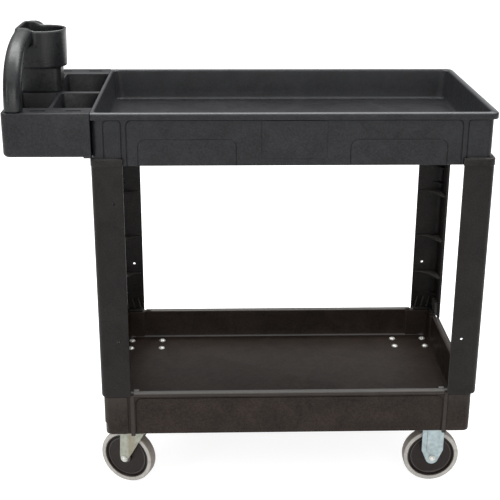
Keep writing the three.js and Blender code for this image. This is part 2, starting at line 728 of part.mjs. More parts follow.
function axleNut(armOut) {
  const solid = cut(
    prism(hexagon(8.2), armOut + GAP, armOut + 7),
    rod('z', 5.3, 40, [0, 0, armOut], 12),
  );
  return toGeometry(solid).rotateX(-Math.PI / 2);
}

function addAxleSet(name, group, armIn, armOut) {
  const pieces = [
    [`${name}_axle_bolt`, axleBolt(armOut), boltSteel],
    [`${name}_axle_nut`, axleNut(armOut), boltSteel],
    [`${name}_axle_sleeve`, axleSleeve(armIn - 0.5), zincSteel],
    [`${name}_wheel_hub`, hub(), hubPlastic],
    [`${name}_tyre`, tyre(), tyreRubber],
  ];
  pieces.forEach(([pieceName, geometry, finish]) => addMesh(pieceName, geometry, finish, group));
}

function addSwivelCaster({ name, x, y, turn }) {
  const mount = new THREE.Group();
  mount.position.set(x, y, 0);
  addMesh(`${name}_top_plate`, swivelPlate(), zincSteel, mount);
  addMesh(`${name}_bearing`, swivelBearing(), zincSteel, mount);
  addMesh(`${name}_kingpin`, kingpin(), boltSteel, mount);
  const turning = new THREE.Group();
  turning.rotation.z = THREE.MathUtils.degToRad(turn);
  addMesh(`${name}_fork`, fork(), zincSteel, turning);
  const axle = new THREE.Group();
  axle.position.set(-TRAIL, 0, WHEEL_R);
  addAxleSet(name, axle, 19.5, 22.5);
  turning.add(axle);
  mount.add(turning);
  cart.add(mount);
}

function addRigidCaster({ name, x, y }) {
  const mount = new THREE.Group();
  mount.position.set(x, y, 0);
  addMesh(`${name}_bracket`, rigidBracket(), zincSteel, mount);
  const axle = new THREE.Group();
  axle.position.set(0, 0, WHEEL_R);
  addAxleSet(name, axle, 21, 24);
  mount.add(axle);
  cart.add(mount);
}

// ---- assembly --------------------------------------------------------------------------------

addMesh('upper_tray', cut(
  upperTray(), ...consoleScrews.map(([x, y, z]) => rod('x', 2.4, 30, [x, y, z], 10)),
), foamPlastic);
addMesh('lower_tray', lowerTray(), foamPlastic);
addMesh('handle_console', handleConsole(), foamPlastic);
addMesh('push_handle', pushHandle(), foamPlastic);

const oneLeg = leg();
CORNERS.forEach((corner) => {
  const { x, y, signX, signY } = legCorner(corner);
  addMesh(`leg_${corner.name}`, placed(oneLeg, signX, signY, x, y), legPlastic);
});

consoleScrews.forEach(([x, y, z], i) => {
  const mesh = addMesh(`console_screw_${i + 1}`, screw(2, 12, 4, 2.6), boltSteel);
  mesh.position.set(x + DIVIDER + GAP, y, z);
  mesh.rotation.y = -Math.PI / 2;
});

handleScrews.forEach(([x, y], i) => {
  const mesh = addMesh(`handle_screw_${['front', 'rear'][i]}`, screw(2.1, 22, 5, 3), boltSteel);
  mesh.position.set(x, y, RIM_Z - WALL - GAP);
});

CASTERS.forEach((caster) => {
  if (caster.turn === undefined) addRigidCaster(caster);
  else addSwivelCaster(caster);
  boltSpots(caster).forEach(([x, y], i) => {
    const mesh = addMesh(`${caster.name}_mount_bolt_${i + 1}`, casterBolt(), boltSteel);
    mesh.position.set(x, y, 0);
  });
});

export default cart;
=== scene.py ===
"""A two-shelf rolling utility cart in charcoal structural-foam plastic, on zinc casters with grey tyres."""

import json
import math

import bmesh
import bpy
import numpy as np
from mathutils import Matrix, Vector


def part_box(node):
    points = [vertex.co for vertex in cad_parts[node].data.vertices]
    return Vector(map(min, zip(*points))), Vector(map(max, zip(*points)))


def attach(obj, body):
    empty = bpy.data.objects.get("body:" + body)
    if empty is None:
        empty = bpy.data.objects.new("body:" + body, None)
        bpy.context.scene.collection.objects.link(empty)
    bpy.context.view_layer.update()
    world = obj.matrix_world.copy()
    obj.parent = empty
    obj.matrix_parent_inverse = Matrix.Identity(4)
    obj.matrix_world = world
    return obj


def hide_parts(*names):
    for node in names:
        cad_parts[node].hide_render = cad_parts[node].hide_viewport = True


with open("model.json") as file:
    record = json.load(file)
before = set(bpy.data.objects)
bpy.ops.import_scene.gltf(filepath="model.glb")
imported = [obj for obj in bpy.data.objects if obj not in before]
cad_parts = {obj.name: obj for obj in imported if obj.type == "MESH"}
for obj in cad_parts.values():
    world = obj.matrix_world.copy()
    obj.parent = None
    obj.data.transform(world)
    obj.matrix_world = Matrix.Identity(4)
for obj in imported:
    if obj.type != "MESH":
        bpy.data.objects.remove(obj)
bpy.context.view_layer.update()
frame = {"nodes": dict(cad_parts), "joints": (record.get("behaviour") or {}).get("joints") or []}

MM = 0.001
CORNERS = [("front_left", 1, 1), ("front_right", -1, 1), ("rear_left", 1, -1), ("rear_right", -1, -1)]


def span(node):
    """Lowest and highest corner of a CAD node, in millimetres."""
    low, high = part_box(node)
    return Vector(low) / MM, Vector(high) / MM


# ---- where things are, in millimetres ----

TRAY_LOW, TRAY_HIGH = span("upper_tray")
CONSOLE_LOW, CONSOLE_HIGH = span("handle_console")
HANDLE_LOW, HANDLE_HIGH = span("push_handle")
LOWER_LOW = span("lower_tray")[0]
LEG_LOW = span("leg_front_left")[0]
X_END = TRAY_HIGH.x
Y_SIDE = TRAY_HIGH.y
RIM_Z = TRAY_HIGH.z
UPPER_FLOOR_Z = 808
LOWER_FLOOR_Z = 186.5
LOWER_RIM_Z = 258
LOWER_SKIRT_Z = 157.3
WALL = 6
WALL_CORNER = 14
LIP_DROP = 14
LIP_OVERHANG = 8
LEG_TOP_Z = 783
LEG_STEP_Z = 767.5
LEG_FOOT_Z = 250
PLATE_TOP_Z = span("front_rigid_bracket")[1].z
PLATE_T = 4
WHEEL_R = 63.5
TRAIL = 28
SEAT = 0.6
BOLT_HALF = (38.5, 22.25)
AXLE_HOLE_R = 5.3
PIN_HOLE_R = 6.4
SWIVEL_ARMS = (19.5, 22.5)
RIGID_ARMS = (21, 24)
BEARING_T = 15
PLAY = 0.3
SLOTS = [(x, s) for s in (-1, 1) for x in (70.5, 142)]
SLOT_Y = 211.5
SLOT_HALF = (16, 4)
CREASE = 32
ON_AXIS = 1e-3
ARC_STEPS = 8


def middle(node):
    low, high = span(node)
    return (low.x + high.x) / 2, (low.y + high.y) / 2


CASTER_PLACES = {
    "front_swivel": middle("front_swivel_top_plate"),
    "rear_swivel": middle("rear_swivel_top_plate"),
    "front_rigid": middle("front_rigid_bracket"),
    "rear_rigid": middle("rear_rigid_bracket"),
}


# ---- mesh tools ----

def smooth(t):
    t = np.clip(t, 0, 1)
    return t * t * (3 - 2 * t)


def right_angled(corners, radii, steps=4):
    """An outline with square corners, each rounded off to its own radius."""
    corners = [np.array(c, float) for c in corners]
    points = []
    for i, (corner, radius) in enumerate(zip(corners, radii)):
        before = corner - corners[i - 1]
        after = corners[(i + 1) % len(corners)] - corner
        before, after = before / np.linalg.norm(before), after / np.linalg.norm(after)
        centre = corner - before * radius + after * radius
        for step in range(steps + 1):
            angle = math.pi / 2 * step / steps
            points.append(centre + radius * (before * math.sin(angle) - after * math.cos(angle)))
    return np.array(points)


def rectangle(x0, x1, y0, y1, radii, steps=4):
    radii = radii if isinstance(radii, (list, tuple)) else [radii] * 4
    return right_angled([(x0, y0), (x1, y0), (x1, y1), (x0, y1)], radii, steps)


def circle(radius, sides, start=0.0):
    angles = np.linspace(0, 2 * math.pi, sides, endpoint=False) + start
    return radius * np.column_stack([np.cos(angles), np.sin(angles)])


def skin(rings):
    """A closed body through rings of points in space, all with the same number of points."""
    count = len(rings[0])
    top = (len(rings) - 1) * count
    faces = [(a + i, a + (i + 1) % count, a + count + (i + 1) % count, a + count + i)
             for a in range(0, top, count) for i in range(count)]
    return np.concatenate(rings), faces + [tuple(reversed(range(count))), tuple(range(top, top + count))]


def loft(levels):
    """A closed body through outlines of equal point count, given as (z, points) from the bottom up."""
    return skin([np.column_stack([outline, np.full(len(outline), float(z))]) for z, outline in levels])


def extrude(outline, z0, z1):
    return loft([(z0, outline), (z1, outline)])


def turned(profile, sides):
    """A body turned about Z from a closed profile of (radius, height) points."""
    points = np.concatenate([np.column_stack([circle(max(radius, ON_AXIS), sides), np.full(sides, height)])
                             for radius, height in profile])
    faces = []
    for level, (radius, _) in enumerate(profile):
        following = (level + 1) % len(profile)
        if radius < ON_AXIS and profile[following][0] < ON_AXIS:
            continue
        a, b = level * sides, following * sides
        faces += [(a + i, a + (i + 1) % sides, b + (i + 1) % sides, b + i) for i in range(sides)]
    return points, faces


def drill(radius, length):
    return loft([(z, circle(radius, 24)) for z in (-length / 2, length / 2)])


def moved(solid, offset=(0, 0, 0), turn=None, scale=(1, 1, 1)):
    points, faces = solid
    points = np.asarray(points, float) * scale
    if turn is not None:
        points = points @ np.array(turn.to_3x3()).T
    return points + np.array(offset, float), faces


def across(solid):
    """Turns a solid made along Z so that it lies along Y, with its own Y pointing up."""
    points, faces = solid
    return np.column_stack([points[:, 0], -points[:, 2], points[:, 1]]), faces


def mirrored(outline, sx, sy, place):
    """An outline drawn for the front left corner, put at another corner and kept the same way round."""
    outline = outline * (sx, sy)
    return (outline if sx * sy > 0 else outline[::-1]) + place


def mirrored_pair(solid):
    points, faces = solid
    return [solid, (points * (1, -1, 1), [tuple(reversed(face)) for face in faces])]


def joined(*solids):
    points, faces, start = [], [], 0
    for solid_points, solid_faces in solids:
        points.append(np.asarray(solid_points, float))
        faces += [tuple(start + i for i in face) for face in solid_faces]
        start += len(solid_points)
    return np.concatenate(points), faces


def tidy(mesh, crease):
    """Merges doubled points, turns the faces out and shades smooth up to the crease angle."""
    work = bmesh.new()
    work.from_mesh(mesh)
    bmesh.ops.remove_doubles(work, verts=work.verts, dist=2e-6)
    bmesh.ops.dissolve_degenerate(work, edges=work.edges, dist=1e-6)
    bmesh.ops.recalc_face_normals(work, faces=work.faces)
    work.to_mesh(mesh)
    work.free()
    mesh.shade_smooth()
    mesh.set_sharp_from_angle(angle=math.radians(crease))


def new_object(name, solid, crease=CREASE):
    points, faces = solid
    mesh = bpy.data.meshes.new(name)
    mesh.from_pydata((np.asarray(points) * MM).tolist(), [], faces)
    tidy(mesh, crease)
    made = bpy.data.objects.new(name, mesh)
    bpy.context.scene.collection.objects.link(made)
    return made


def apply_modifiers(made):
    graph = bpy.context.evaluated_depsgraph_get()
    made.data = bpy.data.meshes.new_from_object(made.evaluated_get(graph))
    made.modifiers.clear()


def carve(made, solids, operation="DIFFERENCE"):
    """Cuts solids out of an object, or joins them to it."""
    cutters = [new_object("cutter", solid) for solid in solids]
    for cutter in cutters:
        modifier = made.modifiers.new("carve", "BOOLEAN")
        modifier.operation = operation
        modifier.solver = "EXACT"
        modifier.object = cutter
    apply_modifiers(made)
    for cutter in cutters:
        bpy.data.objects.remove(cutter)
    return made


def round_edges(made, width, segments, angle=40):
    modifier = made.modifiers.new("round", "BEVEL")
    modifier.width = width * MM
    modifier.segments = segments
    modifier.limit_method = "ANGLE"
    modifier.angle_limit = math.radians(angle)
    apply_modifiers(made)
    tidy(made.data, CREASE)
    return made


def as_solid(made):
    """An object's mesh as plain points and faces again, and the object gone."""
    points = np.array([v.co for v in made.data.vertices]) / MM
    faces = [tuple(p.vertices) for p in made.data.polygons]
    bpy.data.objects.remove(made)
    return points, faces


def softened(solid, width, segments=2):
    """A solid with its sharp edges rounded."""
    return as_solid(round_edges(new_object("work", solid), width, segments))


def bored(solid, holes):
    return as_solid(carve(new_object("work", solid), holes))


def dress(made, material, slot, body="cart", nodes=()):
    """Gives a piece its material and body, and hides the CAD nodes that it stands for. The slot argument is
    not used.
    """
    made.data.materials.clear()
    made.data.materials.append(material)
    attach(made, body)
    if nodes:
        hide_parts(*nodes)
    return made


# ---- materials ----

def set_inputs(node, values):
    for key, value in values.items():
        node.inputs[key].default_value = value


class Nodes:
    """Short calls that add and link shader nodes."""

    def __init__(self, name):
        self.material = bpy.data.materials.new(name)
        self.material.use_nodes = True
        self.tree = self.material.node_tree
        self.shader = self.tree.nodes["Principled BSDF"]
        self.place = self.add("ShaderNodeTexCoord", {}, "Object")

    def feed(self, node, values):
        """Sets inputs to numbers and colours, or links them to other nodes' outputs."""
        for key, value in values.items():
            if isinstance(value, (int, float)):
                node.inputs[key].default_value = value
            elif isinstance(value, tuple):
                node.inputs[key].default_value = (*value, 1)
            else:
                self.tree.links.new(value, node.inputs[key])

    def add(self, kind, inputs, output, **settings):
        """Adds a node with these inputs and settings, and gives its named output."""
        node = self.tree.nodes.new(kind)
        for key, value in settings.items():
            setattr(node, key, value)
        self.feed(node, inputs)
        return node.outputs[output]

    def attribute(self, name):
        return self.add("ShaderNodeAttribute", {}, "Fac", attribute_name=name)

    def noise(self, scale, detail=4.0, roughness=0.55, distortion=0.0):
        return self.add("ShaderNodeTexNoise", {"Vector": self.place, "Scale": scale, "Detail": detail,
                                               "Roughness": roughness, "Distortion": distortion}, "Fac")

    def spread(self, source, low, high, to_low=0.0, to_high=1.0):
        return self.add("ShaderNodeMapRange", {"Value": source, "From Min": low, "From Max": high,
                                               "To Min": to_low, "To Max": to_high}, "Result")

    def uneven(self, noise, middle, below, above):
        """A roughness that wanders about its middle value."""
        return self.spread(noise, 0.3, 0.7, middle - below, middle + above)

    def blend(self, amount, first, second):
        """Mixes two colours, whose sockets on the mix node are 6 and 7, with output 2."""
        return self.add("ShaderNodeMix", {0: amount, 6: first, 7: second}, 2, data_type="RGBA")

    def sum(self, first, second, operation="ADD"):
        return self.add("ShaderNodeMath", {0: first, 1: second}, 0, operation=operation)

    def product(self, first, second):
        return self.sum(first, second, "MULTIPLY")

    def painted_highlights(self, colour, highlight, strength):
        """Painted highlights: the colour gone paler along sharp edges and wherever the mesh marks a painted
        highlight.
        """
        edge = self.add("ShaderNodeNewGeometry", {}, "Pointiness")
        amount = self.sum(self.spread(edge, 0.53, 0.62, 0.0, strength), self.attribute("painted_highlight"))
        return self.blend(amount, colour, highlight)

    def bump(self, height, strength, distance, **under):
        inputs = {"Height": height, "Strength": strength, "Distance": distance, **under}
        return self.add("ShaderNodeBump", inputs, "Normal")

    def finish(self, colour, roughness, normal, **more):
        self.feed(self.shader, {"Base Color": colour, "Roughness": roughness, "Normal": normal, **more})
        return self.material


def foam_plastic(name, dark, light, highlight, roughness, shine=0.16):
    """Structural-foam plastic: fine mottling, slow swirls of tone, a grained skin, painted highlights on
    edges and rims, and painted shade deep in wells.
    """
    n = Nodes(name)
    mottle = n.spread(n.noise(300, 5, 0.75), 0.38, 0.64)
    swirl = n.spread(n.noise(14, 4, 0.6, 1.2), 0.3, 0.7)
    tone = n.sum(n.product(mottle, 0.62), n.product(swirl, 0.38))
    # painted highlights: paler along sharp edges and wherever the mesh marks them
    colour = n.painted_highlights(n.blend(tone, dark, light), highlight, 0.16)
    # painted shade: near black where the mesh marks the depth of a well or slot
    colour = n.blend(n.attribute("painted_shade"), colour, (0.0012, 0.0012, 0.0014))
    rough = n.uneven(n.noise(90, 4, 0.6), roughness, 0.06, 0.08)
    grain = n.bump(n.noise(700, 3, 0.6), 0.36, 0.0004)
    surface = n.bump(n.noise(45, 3, 0.5, 0.6), 0.18, 0.0012, Normal=grain)
    return n.finish(colour, rough, surface, **{"Specular IOR Level": shine})


def satin_plastic(name, dark, light, highlight, roughness):
    n = Nodes(name)
    colour = n.blend(n.spread(n.noise(120, 4, 0.6), 0.35, 0.65), dark, light)
    # painted highlights: paler along sharp edges and on marked rings
    colour = n.painted_highlights(colour, highlight, 0.5)
    rough = n.uneven(n.noise(60, 3), roughness, 0.05, 0.07)
    grain = n.bump(n.noise(500, 3), 0.12, 0.0003)
    return n.finish(colour, rough, grain, **{"Specular IOR Level": 0.2})


def tyre_rubber(name, side, side_light, tread):
    """Grey thermoplastic rubber, browner and dirtier on the tread."""
    n = Nodes(name)
    colour = n.blend(n.spread(n.noise(70, 5, 0.65), 0.35, 0.65), side, side_light)
    dirt = n.spread(n.noise(160, 5, 0.7), 0.3, 0.7, 0.65, 1.0)
    colour = n.blend(n.product(n.attribute("tread"), dirt), colour, tread)
    rough = n.spread(n.noise(200, 4), 0.3, 0.7, 0.5, 0.68)
    return n.finish(colour, rough, n.bump(n.noise(900, 3), 0.2, 0.0003))


def zinc(name, dark, light, roughness, spangle=140, metallic=0.85):
    """Bright zinc plate with faint crystal patches, and painted brown shade where the mesh marks a fold."""
    n = Nodes(name)
    crystals = n.add("ShaderNodeTexVoronoi", {"Scale": spangle, "Vector": n.place}, "Distance",
                     feature="SMOOTH_F1")
    patches = n.sum(n.product(crystals, 0.5), n.product(n.noise(50, 4), 0.5))
    colour = n.blend(n.spread(patches, 0.25, 0.7), dark, light)
    # painted shade: brown where the mesh marks a fork arm's fold
    colour = n.blend(n.attribute("painted_fold_shade"), colour, (0.19, 0.15, 0.1))
    rough = n.uneven(n.noise(220, 4, 0.6), roughness, 0.07, 0.09)
    return n.finish(colour, rough, n.bump(n.noise(600, 4), 0.1, 0.0003), Metallic=metallic)


# The third colour of each plastic is its painted highlight colour, for edges, rims and marked lines.
HIGHLIGHT_CHARCOAL = (0.16, 0.166, 0.17)
UPPER_FOAM = foam_plastic("upper_foam_plastic", (0.0016, 0.0016, 0.0022), (0.0165, 0.0168, 0.0188),
                          HIGHLIGHT_CHARCOAL, 0.39)
HANDLE_FOAM = foam_plastic("handle_foam_plastic", (0.0016, 0.0018, 0.002), (0.0145, 0.0155, 0.0162),
                           HIGHLIGHT_CHARCOAL, 0.3, 0.27)
LOWER_FOAM = foam_plastic("lower_foam_plastic", (0.0042, 0.0022, 0.0016), (0.0238, 0.017, 0.0135),
                          (0.16, 0.158, 0.152), 0.42, 0.11)
LEG_FOAM = foam_plastic("leg_plastic", (0.0018, 0.0013, 0.0011), (0.0142, 0.0127, 0.0118),
                        (0.13, 0.12, 0.11), 0.4, 0.11)
HUB_PLASTIC = satin_plastic("hub_plastic", (0.005, 0.0024, 0.0015), (0.009, 0.0052, 0.004),
                            (0.2, 0.19, 0.18), 0.36)
TYRE = tyre_rubber("tyre_rubber", (0.225, 0.213, 0.195), (0.3, 0.285, 0.265), (0.12, 0.098, 0.08))
RIGID_ZINC = zinc("zinc_blue", (0.22, 0.265, 0.275), (0.33, 0.39, 0.4), 0.4)
SWIVEL_ZINC = zinc("zinc_cream", (0.2, 0.207, 0.172), (0.3, 0.308, 0.262), 0.4)
BOLT_ZINC = zinc("bolt_steel", (0.4, 0.4, 0.37), (0.56, 0.56, 0.53), 0.3, 300, 0.5)


# ---- trays ----

def mark(made, quality, share):
    """Stores how strongly each point has a quality, share(x, y, z) in millimetres."""
    x, y, z = (np.array([v.co for v in made.data.vertices]) / MM).T
    values = np.clip(share(x, y, z), 0, 1).astype(np.float32)
    made.data.attributes.new(quality, "FLOAT", "POINT").data.foreach_set("value", values)


def stations(start, end, step, edges=(), reach=3.0, fine=0.75):
    """Positions from start to end, closer together near each edge."""
    values = set(np.round(np.linspace(start, end, max(2, round((end - start) / step) + 1)), 3))
    for edge in edges:
        for offset in np.arange(-reach, reach + 0.01, fine):
            if start < edge + offset < end:
                values.add(round(edge + offset, 3))
    ordered = sorted(values)
    kept = [ordered[0]]
    for value in ordered[1:]:
        if value - kept[-1] >= 0.5 * fine:
            kept.append(value)
    kept[-1] = ordered[-1]
    return np.array(kept)


def fractions(values):
    return (values - values[0]) / (values[-1] - values[0])


def wall_ring(box, radii, along_x, along_y):
    """A rounded rectangle whose straight sides carry points at the given fractions."""
    x0, x1, y0, y1 = box
    a, b, c, d = radii
    sides = [
        ((x0 + a, y0), (x1 - b, y0), along_x),
        ((x1, y0 + b), (x1, y1 - c), along_y),
        ((x1 - c, y1), (x0 + d, y1), 1 - along_x[::-1]),
        ((x0, y1 - d), (x0, y0 + a), 1 - along_y[::-1]),
    ]
    centres = [(x1 - b, y0 + b), (x1 - c, y1 - c), (x0 + d, y1 - d), (x0 + a, y0 + a)]
    points = []
    for i, (start, end, share) in enumerate(sides):
        start, end = np.array(start), np.array(end)
        points.append(start + share[:, None] * (end - start))
        radius = (b, c, d, a)[i]
        angles = math.pi / 2 * (i - 1 + np.arange(1, ARC_STEPS) / ARC_STEPS)
        points.append(np.array(centres[i]) + radius * np.column_stack([np.cos(angles), np.sin(angles)]))
    return np.concatenate(points)


def box_distance(u, v, box):
    """Distance outside a round-cornered box (u0, u1, v0, v1, radius), negative inside it."""
    u0, u1, v0, v1, radius = box
    qu = np.abs(u - (u0 + u1) / 2) - ((u1 - u0) / 2 - radius)
    qv = np.abs(v - (v0 + v1) / 2) - ((v1 - v0) / 2 - radius)
    return np.hypot(np.maximum(qu, 0), np.maximum(qv, 0)) + np.minimum(np.maximum(qu, qv), 0) - radius


def inside_panel(u, v, panel, edge=1.6):
    """0 outside a round-cornered panel, 1 inside it, soft across its edge."""
    return smooth(0.5 - box_distance(u, v, panel) / edge)


def groove(u, v, panel, width=1.2):
    """1 on the outline of a panel, 0 away from it."""
    u0, u1, v0, v1, radius = panel
    wider = (u0 - width, u1 + width, v0 - width, v1 + width, radius + width)
    return inside_panel(u, v, wider, 0.9) - inside_panel(u, v, panel, 0.9)


def carve_relief(outline, z, walls, recess):
    """Moves the points of an outline that lie on a long or end wall inwards by recess(side, u, z)."""
    x1, y0, y1 = walls
    outline = outline.copy()
    for side, mask, axis, sign in (
        ("long", np.abs(outline[:, 1] - y0) < 1e-6, 1, 1),
        ("long", np.abs(outline[:, 1] - y1) < 1e-6, 1, -1),
        ("end", np.abs(outline[:, 0] - x1) < 1e-6, 0, -1),
    ):
        along = outline[mask, 1 - axis]
        outline[mask, axis] += sign * recess(side, along, np.full(along.shape, float(z)))
    return outline


def stage(z, box, radii, recess=None):
    """One outline of a tray's skin, with one corner radius or four, and its relief if it has any."""
    return z, box, radii if isinstance(radii, list) else [radii] * 4, recess


def inset_stages(box, pairs, recess=None):
    """Stages at (z, inset) pairs, each the box drawn in by its inset."""
    return [stage(z, grown(box, inset), WALL_CORNER - inset, recess) for z, inset in pairs]


def tray_shell(wall, stages, stations_x, stations_y):
    """A tray as one skin, from under its floor round the skirt, wall and rim and down to the floor."""
    along_x, along_y = fractions(stations_x), fractions(stations_y)
    levels = []
    for z, box, radii, recess in stages:
        outline = wall_ring(box, radii, along_x, along_y)
        if recess is not None:
            outline = carve_relief(outline, z, wall[1:], recess)
        levels.append((z, outline))
    return loft(levels)


def grown(box, inset, left=None):
    x0, x1, y0, y1 = box
    return (x0 + (inset if left is None else left), x1 - inset, y0 + inset, y1 - inset)


def bar(x0, x1, y0, y1, z0, z1, radius=0.6, soft=0.6):
    """A block with rounded upright edges and softened top and bottom edges."""
    (x0, x1), (y0, y1) = sorted((x0, x1)), sorted((y0, y1))
    plan = lambda inset: rectangle(x0 + inset, x1 - inset, y0 + inset, y1 - inset,
                                   max(radius - inset, 0.05), 3)
    return loft([(z0, plan(soft)), (z0 + soft, plan(0)), (z1 - soft, plan(0)),
                 (z1 - soft * 0.3, plan(soft * 0.3)), (z1, plan(soft))])


def floor_ribs(x0, x1, half_width, z0, z1):
    """Stiffening ribs under a tray floor, two along it and four across."""
    ribs = [bar(x0, x1, y - 2, y + 2, z0, z1) for y in (-90, 90)]
    return ribs + [bar(x - 2, x + 2, -half_width, half_width, z0, z1) for x in (-150, 0, 150, 300)]


UPPER_PANEL_TOP = RIM_Z - LIP_DROP - 2
PANELS_OPEN_BELOW = 700
UPPER_PANELS = [(u0, u1, PANELS_OPEN_BELOW, UPPER_PANEL_TOP, radius)
                for u0, u1, radius in ((-294, -261, 8), (-248.5, 423, 11), (436, 520, 8))]
UPPER_ARCHES = [(u0, u1, PANELS_OPEN_BELOW, 820.5, 15) for u0, u1 in ((-226.5, -31), (201, 395))]
UPPER_BLANK = (21, 152.5, 782.5, UPPER_PANEL_TOP - 1, 5)
UPPER_END_PANELS = [(u0, u1, PANELS_OPEN_BELOW, UPPER_PANEL_TOP, radius)
                    for u0, u1, radius in ((-270, -178, 7), (-162, 162, 13), (178, 270, 7))]


def upper_recess(side, u, z):
    """How far the upper tray's wall stands back at a point, u along the wall."""
    if side == "end":
        return 1.7 * sum(inside_panel(u, z, panel) for panel in UPPER_END_PANELS)
    depth = sum(inside_panel(u, z, panel) for panel in UPPER_PANELS)
    edges = sum(groove(u, z, panel, 2.0) for panel in UPPER_PANELS)
    arches = sum(inside_panel(u, z, arch, 1.1) for arch in UPPER_ARCHES)
    lines = sum(groove(u, z, arch, 1.5) for arch in UPPER_ARCHES)
    return depth + 2.2 * edges + 0.3 * arches + 1.2 * lines + 0.6 * groove(u, z, UPPER_BLANK)


def leg_corner(name, sx, sy):
    """The outer corner of a leg in plan."""
    low, high = span(f"leg_{name}")
    return low.x if sx > 0 else high.x, low.y if sy > 0 else high.y


def make_upper_tray():
    lip = (TRAY_LOW.x, X_END, -Y_SIDE, Y_SIDE)
    wall = (TRAY_LOW.x, X_END - LIP_OVERHANG, -Y_SIDE + LIP_OVERHANG, Y_SIDE - LIP_OVERHANG)
    shapes = UPPER_PANELS + UPPER_ARCHES
    edges = sorted({edge for panel in shapes + [UPPER_BLANK] for edge in panel[:2]})
    xs = stations(wall[0] + WALL_CORNER, wall[1] - WALL_CORNER, 5, edges)
    for low, high in [(a, a + r) for a, _, _, _, r in shapes] + [(b - r, b) for _, b, _, _, r in shapes]:
        if high < xs[-1]:
            between = (xs > low - 0.1) & (xs < high + 0.1)
            xs = np.sort(np.concatenate([xs[~between], stations(low - 2.2, high + 2.2, 0.8)[1:-1]]))
    ys = stations(wall[2] + WALL_CORNER, wall[3] - WALL_CORNER, 6, [-178, -162, 162, 178])
    skirt = TRAY_LOW.z
    under = UPPER_FLOOR_Z - WALL
    lip_z = RIM_Z - LIP_DROP
    floor = UPPER_FLOOR_Z
    heights = np.concatenate([
        stations(skirt + 1.3, 803, 4, [UPPER_BLANK[2]], 3.0, 0.7), stations(804, 824, 0.9),
        stations(828, 844, 4), stations(847, lip_z - 0.3, 0.8)])
    stages = inset_stages(wall, [(under, 12), (under - 0.5, 8), (under - 4, 6.4), (skirt + 1, 5), (skirt, 4)])
    stages += inset_stages(wall, [(skirt, 1.3), (skirt + 0.4, 0.4)] + [(z, 0) for z in heights], upper_recess)
    stages += [stage(z, grown(lip, inset, min(inset, 1.0) * 0.6), [3.2, 17 - inset, 17 - inset, 3.2])
               for z, inset in ((lip_z, 6.5), (lip_z, 1.6), (lip_z + 0.5, 0.5), (lip_z + 1.6, 0),
                                (RIM_Z - 4.2, 0), (RIM_Z - 2.6, 0.25), (RIM_Z - 1.2, 1.1),
                                (RIM_Z - 0.35, 2.3), (RIM_Z, 4.2))]
    stages += [stage(z, grown(lip, inset, inset - 7), radius) for z, inset, radius in (
        (RIM_Z, 10.4, 14), (RIM_Z - 0.4, 12, 14), (RIM_Z - 1.4, 13.2, 14), (RIM_Z - 3, 13.9, 15),
        (RIM_Z - 6, 14.2, 15), (floor + 22, 16.6, 18), (floor + 6, 17.9, 20), (floor + 3, 18.5, 21),
        (floor + 1.2, 19.8, 21), (floor + 0.3, 21.6, 20), (floor, 24, 18))]
    solids = [tray_shell(wall, stages, xs, ys)]
    inset = WALL + 0.4
    for name, sx, sy in CORNERS:
        x, y = leg_corner(name, sx, sy)
        solids.append(bar(x + sx * inset, x + sx * 59, y + sy * inset, y + sy * 61,
                          skirt + 0.2, LEG_TOP_Z + 1.2, 8, 0.9))
    solids += floor_ribs(TRAY_LOW.x + 6, X_END - 14, Y_SIDE - 14, floor - 25, under + 1)
    made = new_object("upper_tray_shell", joined(*solids), 28)

    # Painted highlights: a pale band along the rim's outer top edge and the rim top, a faint lift on the
    # inner walls, and a pale line at the foot of the back inner wall.
    def painted_highlights(x, y, z):
        beyond = np.maximum(np.abs(y) - Y_SIDE, x - X_END)
        edge = 0.32 * smooth((z - RIM_Z + 2.9) / 1.6) * smooth((beyond + 6) / 1.5)
        inside = (beyond < -13) & (x > TRAY_LOW.x + 5) & (z > UPPER_FLOOR_Z + 2)
        foot = (y > Y_SIDE - 30) & (np.abs(z - UPPER_FLOOR_Z - 3) < 0.1)
        return edge + 0.12 * smooth((z - RIM_Z + 1) / 0.8) + 0.05 * inside + 0.12 * foot

    mark(made, "painted_highlight", painted_highlights)
    dress(made, UPPER_FOAM, "upper_foam_plastic", nodes=["upper_tray"])


LOWER_X0 = -318
LOWER_X1 = 485.5
LOWER_WIDE = (-248, 422.5, 0, 243.5, 12)
LOWER_END = (-166, 166, 0, 238, 12)


def lower_recess(side, u, z):
    panel = LOWER_END if side == "end" else LOWER_WIDE
    return 1.3 * inside_panel(u, z, panel) + 2.6 * groove(u, z, panel, 2.0)


